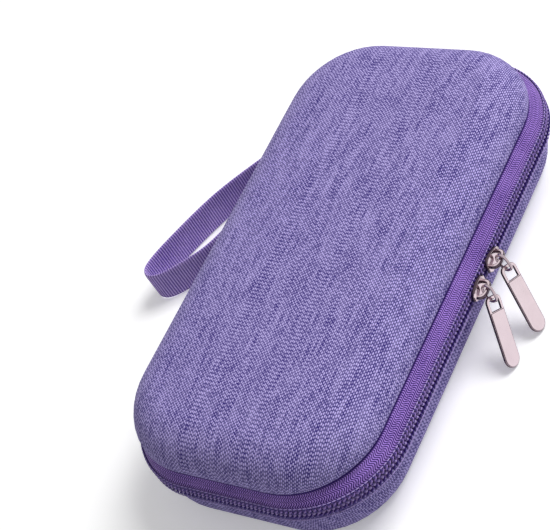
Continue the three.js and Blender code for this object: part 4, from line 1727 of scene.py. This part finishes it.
@dataclass
class Spine:
    """Fabric strip that the halves fold on, with its foil lining. Each is cut along its middle."""

    form: CaseForm
    thickness: float = 1.0 * MM
    thin: float = 0.45 * MM
    thin_gap: float = 0.05 * MM
    stand_out: float = 0.5 * MM
    lap: float = 3.0 * MM
    rises: tuple = (0.6 * MM, 2.2 * MM)
    cover_points: int = 22
    thicken: tuple = (0.35, 0.25)
    columns: int = 64
    lining_lap: float = 5.8 * MM
    lining_rise: float = 0.5 * MM
    lining_bend: tuple = (1.2 * MM, 0.4 * MM, 2.0 * MM)
    lining_share: float = 0.8
    lining_points: int = 26
    lining_wave: float = 0.12 * MM
    wave_length: float = 11 * MM
    wave_seed: float = 4.0
    bend_below: float = 0.3 * MM
    bend_above: float = 2.0 * MM

    def strip(self, line: Array, thickness: Array, waviness: float) -> Piece:
        """A strip along X whose section follows a line in YZ.

        Args:
            line: The line's points.
            thickness: Thickness at each point.
            waviness: Height of its waves.

        Returns:
            The piece.
        """
        outline = offset_outline(line, thickness)
        count = len(line)
        length = self.form.corner[0] - self.form.gap
        x = np.linspace(-length, length, self.columns)
        grids = []
        for side in (outline[:count], outline[count:][::-1]):
            grid = np.empty((len(x), count, 3))
            grid[..., 0] = x[:, None]
            grid[..., 1:] = side
            grid[..., 1] += waviness * ripples(grid, self.wave_length, self.wave_seed)
            grids.append(grid)
        return Piece().slab(*grids, np.stack(np.meshgrid(x, lengths(line), indexing="ij"), -1))

    def mirrored(self, line: Array) -> Array:
        """A section's line turned over the zip's middle plane."""
        return np.stack([line[:, 0], 2 * self.form.coil_plane - line[:, 1]], -1)

    def cover(self) -> tuple[Array, Array]:
        """The lower half of the cover's section, thinner where it is sewn.

        Returns:
            The section's middle line, and its thickness at each point.
        """
        rim = self.form.base_rim
        sewn = self.form.seam_y + self.thin / 2 + self.thin_gap
        free = self.form.seam_y + self.stand_out - self.thickness / 2
        low, high = (rim + rise for rise in self.rises)
        corners = [(sewn, rim - self.lap), (sewn, low), (free, high), (free, self.form.coil_plane)]
        start, run = self.thicken
        share = smooth((np.linspace(0, 1, self.cover_points) - start) / run)
        return resample(corners, self.cover_points), self.thin + (self.thickness - self.thin) * share

    def lining(self) -> tuple[Array, Array]:
        """The lower half of the lining's section.

        Returns:
            The section's middle line, and its thickness at each point.
        """
        y = self.form.seam_y
        inner = y + self.stand_out - self.thickness - self.form.gap - self.form.lining / 2
        level = self.form.base_rim + self.lining_rise
        back, low, high = self.lining_bend
        corners = [
            (y - self.lining_lap, level), (inner - back, level), (inner, level + low), (inner, level + high),
            (inner, self.form.coil_plane),
        ]
        thickness = np.full(self.lining_points, self.form.lining * self.lining_share)
        return resample(corners, self.lining_points), thickness

    def build(self) -> None:
        """Builds the cover and the lining, each as two strips, one below and one above the zip's middle
        plane.
        """
        jobs = [
            ("spine_cover", Finishes.cover, Slot.COVER, self.cover(), 0.0, "spine_outer_fabric"),
            ("spine_lining", Finishes.foil, Slot.FOIL, self.lining(), self.lining_wave, "spine_foil_lining"),
        ]
        for name, finish, slot, (line, thick), wave, node in jobs:
            lower = self.strip(line, thick, wave).make(f"{name}_lower", finish)
            upper = self.strip(self.mirrored(line), thick, wave).make(f"{name}_upper", finish)
            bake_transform(lower)
            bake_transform(upper)
            for piece in (lower, upper):
                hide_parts(node)
                LOG.info("%s bends at one fold", piece.name)


@dataclass
class Pockets:
    """Ice pocket panels, mesh pockets with their hems, and elastic bands."""

    form: CaseForm
    first_setback: float = 19 * MM
    mesh_length: float = 57 * MM
    mesh_tuck: float = 0.2 * MM
    spacing: float = 13 * MM
    hem_width: float = 10.7 * MM
    hem_thickness: float = 1.4 * MM
    hem_rib: float = 0.05 * MM
    hem_seam: float = 2.6 * MM
    hem_margin: float = 1 * MM
    hem_points: int = 80
    mesh_thickness: float = 0.8 * MM
    band_setback: float = 23 * MM
    band_width: float = 26.5 * MM
    band_spacing: float = 54 * MM
    band_thickness: float = 1.2 * MM
    band_rib: float = 0.12 * MM
    elastic_round: float = 0.8 * MM
    slack: float = 2.2 * MM
    knit_pitch: float = 1.55 * MM
    knit_swing: float = 0.46
    knit_fold: float = 0.5 * MM
    knit_wave: tuple = (16 * MM, 40.0)
    knit_sink: float = 0.1 * MM
    strand: float = 0.27 * MM
    rib_pitch: float = 1.5 * MM
    rib_steps: int = 10
    columns: int = 57
    panel_rows: int = 120
    panel_play: float = 0.05 * MM
    panel_share: float = 0.7
    wrinkle: float = 0.22 * MM
    wrinkle_waves: tuple = ((9 * MM, 21.0), (23 * MM, 5.0))
    wrinkle_level: float = 0.25 * MM
    mouth_hem: float = 6.5 * MM
    mouth_fade: float = 0.8 * MM
    mouth_seam: float = 5.5 * MM
    mouth_margin: float = 3 * MM
    mouth_stitch: Stitch = Stitch(1.8 * MM, 0.36 * MM, 2.5 * MM, Finishes.pale_thread)
    hem_stitch: Stitch = Stitch(0.9 * MM, 0.5 * MM, 2.3 * MM, Finishes.pale_thread)

    def surface(self, half: Half) -> float:
        """Height of the panel's face towards the middle of the case."""
        return self.form.rim(half) - half.value * self.form.edge_tuck

    def sheet(self, x: Array, inset: float, face: Face, thickness: float, half: Half) -> Piece:
        """A sheet over the plan of the case.

        Args:
            x: Places along the case.
            inset: Distance in from the outside of the rims.
            face: Gives the height of the sheet's seen face at plan points.
            thickness: Thickness of the sheet.
            half: The half that it lies in.

        Returns:
            The piece.
        """
        across = np.linspace(-1, 1, self.columns)
        width = self.form.half_width(x, inset)
        plan = np.stack([np.repeat(x[:, None], len(across), 1), width[:, None] * across], -1)
        top = raised(plan, face(plan))
        return Piece().slab(top, top - np.array(UP) * half.value * thickness, plan)

    def sewn_in(self, x: Array, inset: float) -> None:
        """Works out the half width of a sheet that is sewn in by its edges, the size of its cut, and keeps
        nothing.

        Args:
            x: Places along the case, from one end of the sheet to the other.
            inset: Distance in from the outside of the rims.
        """
        width = self.form.half_width(x, inset)

    def panel(self, half: Half) -> None:
        """The foil panel over an ice pocket, with a folded hem at its mouth.

        Args:
            half: The half that it lies in.
        """
        name, mouth, inset = half.body, self.form.mouth_x, self.form.panel_inset
        x = np.linspace(inset - self.form.seam_x + self.panel_play, mouth, self.panel_rows)
        level = self.surface(half)

        def face(plan: Array) -> Array:
            """Wrinkled face, flat at the hem.

            Args:
                plan: Plan points.

            Returns:
                The height at each point.
            """
            waves = sum(ripples(plan, *wave) for wave in self.wrinkle_waves)
            hem = smooth((plan[..., 0] - mouth + self.mouth_hem) / self.mouth_fade)
            sunk = np.minimum(self.wrinkle * waves - self.wrinkle_level, 0.0)
            return level + half.value * (sunk * (1 - hem))

        piece = self.sheet(x, inset, face, self.form.panel * self.panel_share, half)
        cloth = piece.make(f"{name}_pocket_panel", Finishes.foil)
        settle(cloth, name, Slot.FOIL, f"{name}_ice_pocket_panel")
        self.sewn_in(x, inset)
        y = self.form.half_width(np.array([mouth]), inset)[0] - self.mouth_margin
        seam = np.array([(mouth - self.mouth_seam, side * y, level) for side in (-1, 1)])
        self.mouth_stitch.sew(f"{name}_mouth_stitches", [seam], name, Slot.FOIL)

    def bow(self, plan: Array) -> Array:
        """How slack a strip is at plan points, as a share: full in the middle, none at its sewn ends."""
        return 1 - (plan[..., 1] / (self.form.seam_y - self.form.sewn_inset)) ** 2

    def elastic(self, name: str, node: str, half: Half, ends: Span, thickness: float, rib: float) -> None:
        """A ribbed elastic strip across a panel, sewn at both ends.

        Args:
            name: Name of the piece.
            node: The CAD node that it replaces.
            half: The half that it lies in.
            ends: Where it starts and ends along the case.
            thickness: Thickness of the strip.
            rib: Height of its ribs.
        """
        low_x, high_x = ends
        level = self.surface(half) + half.value * (self.form.gap + thickness - rib)
        x = np.linspace(low_x, high_x, round((high_x - low_x) / self.rib_pitch * self.rib_steps))

        def face(plan: Array) -> Array:
            """Bowed and ribbed face with rounded edges.

            Args:
                plan: Plan points.

            Returns:
                The height at each point.
            """
            ribs = rib * np.cos(TURN * (plan[..., 0] - low_x) / self.rib_pitch)
            edge = np.minimum(plan[..., 0] - low_x, high_x - plan[..., 0])
            rounding = 0.5 * thickness * (1 - np.sqrt(np.clip(edge / self.elastic_round, 0.0, 1.0)))
            return level + half.value * (self.slack * self.bow(plan) + ribs - rounding)

        inset = self.form.sewn_inset
        cloth = self.sheet(x, inset, face, thickness - 2 * rib, half).make(name, Finishes.elastic, 60.0)
        settle(cloth, half.body, Slot.ELASTIC, node)
        self.sewn_in(x, inset)

    def hem_stitches(self, name: str, x: float) -> None:
        """A dotted line of thread along a hem.

        Args:
            name: Name of the piece.
            x: Its place along the case.
        """
        half_width = self.form.seam_y - self.form.sewn_inset - self.hem_margin
        y = np.linspace(-half_width, half_width, self.hem_points)
        plan = np.stack([np.full(len(y), x), y], -1)
        top = self.surface(Half.LID) - self.form.gap - self.hem_thickness
        self.hem_stitch.sew(name, [raised(plan, top - self.slack * self.bow(plan))], "lid", Slot.ELASTIC)

    def knit(self, name: str, node: str, ends: Span, net: StrandNet) -> None:
        """A pocket of zigzag strands that touch their neighbours.

        Args:
            name: Name of the piece.
            node: The CAD node that it replaces.
            ends: Where it starts and ends along the case.
            net: The tree that makes its strands.
        """
        low_x, high_x = ends
        length, inset = high_x - low_x, self.form.sewn_inset
        rows = int(length / self.knit_pitch)
        top = self.surface(Half.LID) - self.form.gap - self.mesh_thickness / 2
        paths = []
        for row in range(rows):
            centre = low_x + (row + 0.5) * length / rows
            width = float(self.form.half_width(np.array([centre]), inset)[0]) - self.strand
            count = int(2 * width / self.knit_pitch) * 2 + 1
            way = np.where((np.arange(count) + row) % 2, 1, -1)
            x = centre + way * self.knit_swing * self.knit_pitch
            x = np.clip(x, low_x + self.strand, high_x - self.strand)
            plan = np.stack([x, np.linspace(-width, width, count)], -1)
            bow = self.bow(plan)
            fold = self.knit_fold * ripples(plan, *self.knit_wave) * smooth(bow * 2)
            depth = np.maximum(self.slack * (x - low_x) / length * bow + fold, -self.knit_sink)
            paths.append(raised(plan, top - depth))
        cloth = net.grow(name, paths, Finishes.net, Radius=self.strand)
        settle(cloth, "lid", Slot.NET, node)
        self.sewn_in(np.linspace(low_x, high_x, rows), inset)

    def build(self) -> None:
        """Builds the panels and what is sewn on them."""
        for half in Half:
            self.panel(half)
        net = StrandNet()
        high_x = self.form.mouth_x - self.first_setback
        for place in ("upper", "lower"):
            seam = high_x - self.hem_width
            low_x = seam - self.form.gap - self.mesh_length
            hem, node = f"lid_hem_{place}", f"lid_pocket_elastic_{place}"
            self.elastic(hem, node, Half.LID, (seam, high_x), self.hem_thickness, self.hem_rib)
            self.hem_stitches(f"{hem}_stitches", seam + self.hem_seam)
            span = (low_x, seam + self.mesh_tuck)
            self.knit(f"lid_net_{place}", f"lid_mesh_pocket_{place}", span, net)
            high_x = low_x - self.spacing
        high_x = self.form.mouth_x - self.band_setback
        for place in ("upper", "lower"):
            low_x = high_x - self.band_width
            band, node = f"base_band_{place}", f"base_elastic_band_{place}"
            self.elastic(band, node, Half.BASE, (low_x, high_x), self.band_thickness, self.band_rib)
            high_x = low_x - self.band_spacing


@dataclass
class IcePack:
    """Pouch of gel with a welded rim and printed snowflakes."""

    half: Half
    flange: float = 5 * MM
    flange_thickness: float = 0.8 * MM
    rim_share: float = 0.35
    shoulder: float = 9 * MM
    crest: float = 0.4 * MM
    slump: float = 0.75 * MM
    gather: float = 0.22 * MM
    gathers: float = 22
    dents: tuple = ((1.0, 13 * MM, 60.0), (0.6, 5.5 * MM, 71.0))
    rim_rings: int = 5
    dome_rings: int = 44
    end_places: int = 49
    run_places: int = 40
    weld_fade: float = 0.8 * MM
    flake: float = 3.3 * MM
    flake_line: float = 0.3 * MM
    branch_starts: tuple = (0.48, 0.74)
    branch: tuple = (0.2, 0.24)
    ink_rise: float = 0.05 * MM
    ink_depth: float = 0.04 * MM
    flakes: tuple = (
        (-14, -9), (-25, 12), (-47, -16), (-58, 5), (-82, 15), (-90, -12), (-118, 4), (-136, -14),
    )

    def __post_init__(self) -> None:
        """Reads the pack's place from the frame."""
        low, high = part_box(f"{self.half.body}_ice_pack")
        self.low_x, self.high_x = low.x, high.x
        self.half_width = (high.y - low.y) / 2
        self.middle = (low.z + high.z) / 2
        self.swell = (high.z - low.z) / 2 - self.flange_thickness / 2

    def height(self, points: Array) -> Array:
        """Height of the film over the pack's middle plane at plan points.

        Args:
            points: The points.

        Returns:
            The height at each point.
        """
        ends = np.clip(points[..., 0], self.low_x + self.half_width, self.high_x - self.half_width)
        inset = self.half_width - np.hypot(points[..., 0] - ends, points[..., 1])
        share = np.clip((inset - self.flange) / self.shoulder, 0.0, 1.0)
        dome = np.sqrt(1 - (1 - share) ** 2)
        dents = sum(part * ripples(points, size, seed) for part, size, seed in self.dents)
        turn = np.arctan2(points[..., 1], points[..., 0] - ends)
        gathers = np.cos(turn * self.gathers) * (1 - share) * share * 4
        sunk = self.slump * (1.0 - dents) * share + self.gather * (1 + gathers) * smooth(share * 3)
        return self.flange_thickness / 2 + np.maximum(self.swell * dome - sunk, 0.0)

    def outline(self) -> tuple[Array, Array]:
        """The pack's middle line, walked round once, with the outward normal at each place.

        Returns:
            The places and the normals.
        """
        ends = [(self.high_x - self.half_width, -90), (self.low_x + self.half_width, 90)]
        anchors, normals = [], []
        for place, (centre, start) in enumerate(ends):
            for angle in np.radians(np.linspace(start, start + 180, self.end_places)):
                anchors.append((centre, 0.0))
                normals.append((math.cos(angle), math.sin(angle)))
            goal = ends[1 - place][0]
            for share in np.linspace(0, 1, self.run_places)[1:-1]:
                anchors.append((centre + (goal - centre) * share, 0.0))
                normals.append(normals[-1])
        return np.array(anchors), np.array(normals)

    def build(self) -> None:
        """Builds the pouch and its print."""
        rim = np.linspace(0, self.flange, self.rim_rings)
        rest = np.linspace(self.flange, self.half_width - self.crest, self.dome_rings)[1:]
        insets = np.concatenate([rim, rest])
        anchors, normals = self.outline()
        plan = anchors + normals * (self.half_width - insets)[:, None, None]
        height = self.height(plan)
        height[0] *= self.rim_share
        above, below = (raised(plan, self.middle + side * height) for side in (1, -1))
        rings = np.concatenate([above[::-1], below])
        name = self.half.body
        pouch = Piece().tube(rings, rings[..., :2]).make(f"{name}_gel_pouch", Finishes.film)
        inset = np.repeat(np.concatenate([insets[::-1], insets]), rings.shape[1])
        weld = 1 - smooth((inset - self.flange) / self.weld_fade + 0.5)
        layer = pouch.data.attributes.new("weld", "FLOAT", "POINT")
        layer.data.foreach_set("value", weld.astype(np.float32))
        settle(pouch, f"{name}_pack", Slot.GEL, f"{name}_ice_pack")
        self.snow()

    def snow(self) -> None:
        """Six-armed snowflakes printed on the side that shows."""
        along, aside = self.branch
        bars = [(0.0, 0.0, 1.0, 0.0)]
        for start in self.branch_starts:
            bars += [(start, 0.0, start + along, lean * aside) for lean in (-1, 1)]
        piece = Piece()
        for x, y in self.flakes:
            centre = np.array([self.high_x + x * MM, y * MM])
            for arm in range(6):
                angle = arm * TURN / 6 + x
                spin = np.array([(math.cos(angle), math.sin(angle)), (-math.sin(angle), math.cos(angle))])
                for bar in bars:
                    self.bar(piece, self.flake * np.array(bar).reshape(2, 2) @ spin + centre)
        name = self.half.body
        settle(piece.make(f"{name}_pack_print", Finishes.ink), f"{name}_pack", Slot.GEL)

    def bar(self, piece: Piece, ends: Array) -> None:
        """Adds one thin printed bar that follows the film.

        Args:
            piece: The print.
            ends: Plan points of the bar's two ends.
        """
        line = ends[0] + (ends[1] - ends[0]) * np.linspace(0, 1, 5)[:, None]
        out = sides(line) * self.flake_line / 2
        plan = np.stack([line - out, line + out], 1)
        top = raised(plan, self.middle + self.half.value * (self.height(plan) + self.ink_rise))
        piece.slab(top, top - np.array(UP) * self.half.value * self.ink_depth, plan)


@dataclass
class Studio:
    """Camera at the photograph's angle, soft light from above and a pale floor."""

    position: tuple = (-0.28937, -0.34228, 0.48074)
    right: tuple = (0.41601, -0.81502, -0.40333)
    up: tuple = (0.79732, 0.11363, 0.59276)
    lens: float = 112.56
    sensor: float = 36.0
    sky_low: float = 0.08
    sky_high: float = 0.4
    key_aim: tuple = (0.52, -0.33, 0.787)
    key_share: float = 0.8
    lamp_distance: float = 2.6
    lamp_size: float = 1.3
    floor_size: float = 12.0
    floor_white: float = 0.93
    floor_bounce: float = 0.88
    floor_lift: float = 0.3

    def build(self) -> None:
        """Builds the camera, the lamp, the world and the floor."""
        self.camera()
        self.lamp()
        self.world()
        self.floor()
        bpy.context.scene.view_settings.view_transform = "Standard"

    def camera(self) -> None:
        """The camera."""
        data = bpy.data.cameras.new("camera")
        data.lens = self.lens
        data.sensor_width = self.sensor
        data.sensor_fit = "HORIZONTAL"
        camera = linked("camera", data)
        right = Vector(self.right).normalized()
        back = right.cross(Vector(self.up)).normalized()
        turn = Matrix((right, back.cross(right), back)).transposed().to_4x4()
        camera.matrix_world = Matrix.Translation(self.position) @ turn
        bpy.context.scene.camera = camera

    def lamp(self) -> None:
        """One large lamp, which gives its share of the full level where it shines straight on.

        Metal doesn't mirror it, so a flat tab never flashes white.
        """
        data = bpy.data.lights.new("key", "AREA")
        data.size = self.lamp_size
        data.energy = math.pi**2 * self.lamp_distance**2 * self.key_share
        lamp = linked("key", data)
        lamp.visible_glossy = False
        towards = Vector(self.key_aim).normalized()
        turn = towards.to_track_quat("Z", "Y").to_matrix().to_4x4()
        lamp.matrix_world = Matrix.Translation(towards * self.lamp_distance) @ turn

    def seen(self, nodes: Nodes) -> Socket:
        """Gives 1 where a surface is seen straight on, in a mirror or through film, and 0 elsewhere.

        Args:
            nodes: The tree that asks.

        Returns:
            The value.
        """
        path = nodes.node("ShaderNodeLightPath")
        rays = [path.outputs[kind] for kind in SEEN_RAYS]
        return functools.reduce(functools.partial(nodes.math, "MAXIMUM"), rays)

    def world(self) -> None:
        """A soft sky that is brighter overhead, and plain white where it is seen or mirrored."""
        world = bpy.data.worlds.new("world")
        world.use_nodes = True
        nodes = Nodes(world.node_tree)
        place = nodes.node("ShaderNodeTexCoord").outputs["Generated"]
        height = nodes.node("ShaderNodeSeparateXYZ", {0: place}).outputs["Z"]
        slope = {"Value": height, "To Min": self.sky_low, "To Max": self.sky_high}
        sky = nodes.node("ShaderNodeMapRange", slope).outputs[0]
        choice = {"Value": self.seen(nodes), "To Min": sky, "To Max": 1.0}
        shown = world.node_tree.nodes["Background"].inputs
        nodes.feed(shown["Color"], WHITE)
        nodes.feed(shown["Strength"], nodes.node("ShaderNodeMapRange", choice).outputs[0])
        bpy.context.scene.world = world

    def floor(self) -> None:
        """A pale floor under the case, white where it is seen or mirrored."""
        half = self.floor_size / 2
        mesh = bpy.data.meshes.new("floor")
        corners = [(-half, -half, 0), (half, -half, 0), (half, half, 0), (-half, half, 0)]
        mesh.from_pydata(corners, [], [[0, 1, 2, 3]])
        g = Graph("pale floor")
        seen = self.seen(g)
        dim, white = ((level, level, level, 1.0) for level in (self.floor_bounce, self.floor_white))
        g.set(Base_Color=g.mix(seen, dim, white), Roughness=0.9, Specular_IOR_Level=0.1)
        g.set(Emission_Color=WHITE, Emission_Strength=g.times(seen, self.floor_lift))
        mesh.materials.append(g.material)
        linked("floor", mesh)


def main() -> None:
    """Builds the scene round the frame."""
    logging.basicConfig(level=logging.INFO, format="%(message)s")
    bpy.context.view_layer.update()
    form = CaseForm.from_frame()
    Studio().build()
    WristStrap(form).build()
    Shell(Half.BASE, form, height=form.base_rim, edge_run=9.5 * MM, edge_rise=9.5 * MM).build()
    Shell(Half.LID, form, height=14.3 * MM, edge_run=17 * MM, edge_rise=13.3 * MM, crown=1 * MM).build()
    Zip(form).build()
    for letter, nose in (("a", 1), ("b", -1)):
        Pull(letter, nose).build()
    Spine(form).build()
    Pockets(form).build()
    for half in Half:
        IcePack(half).build()


if __name__ == "__main__":
    main()
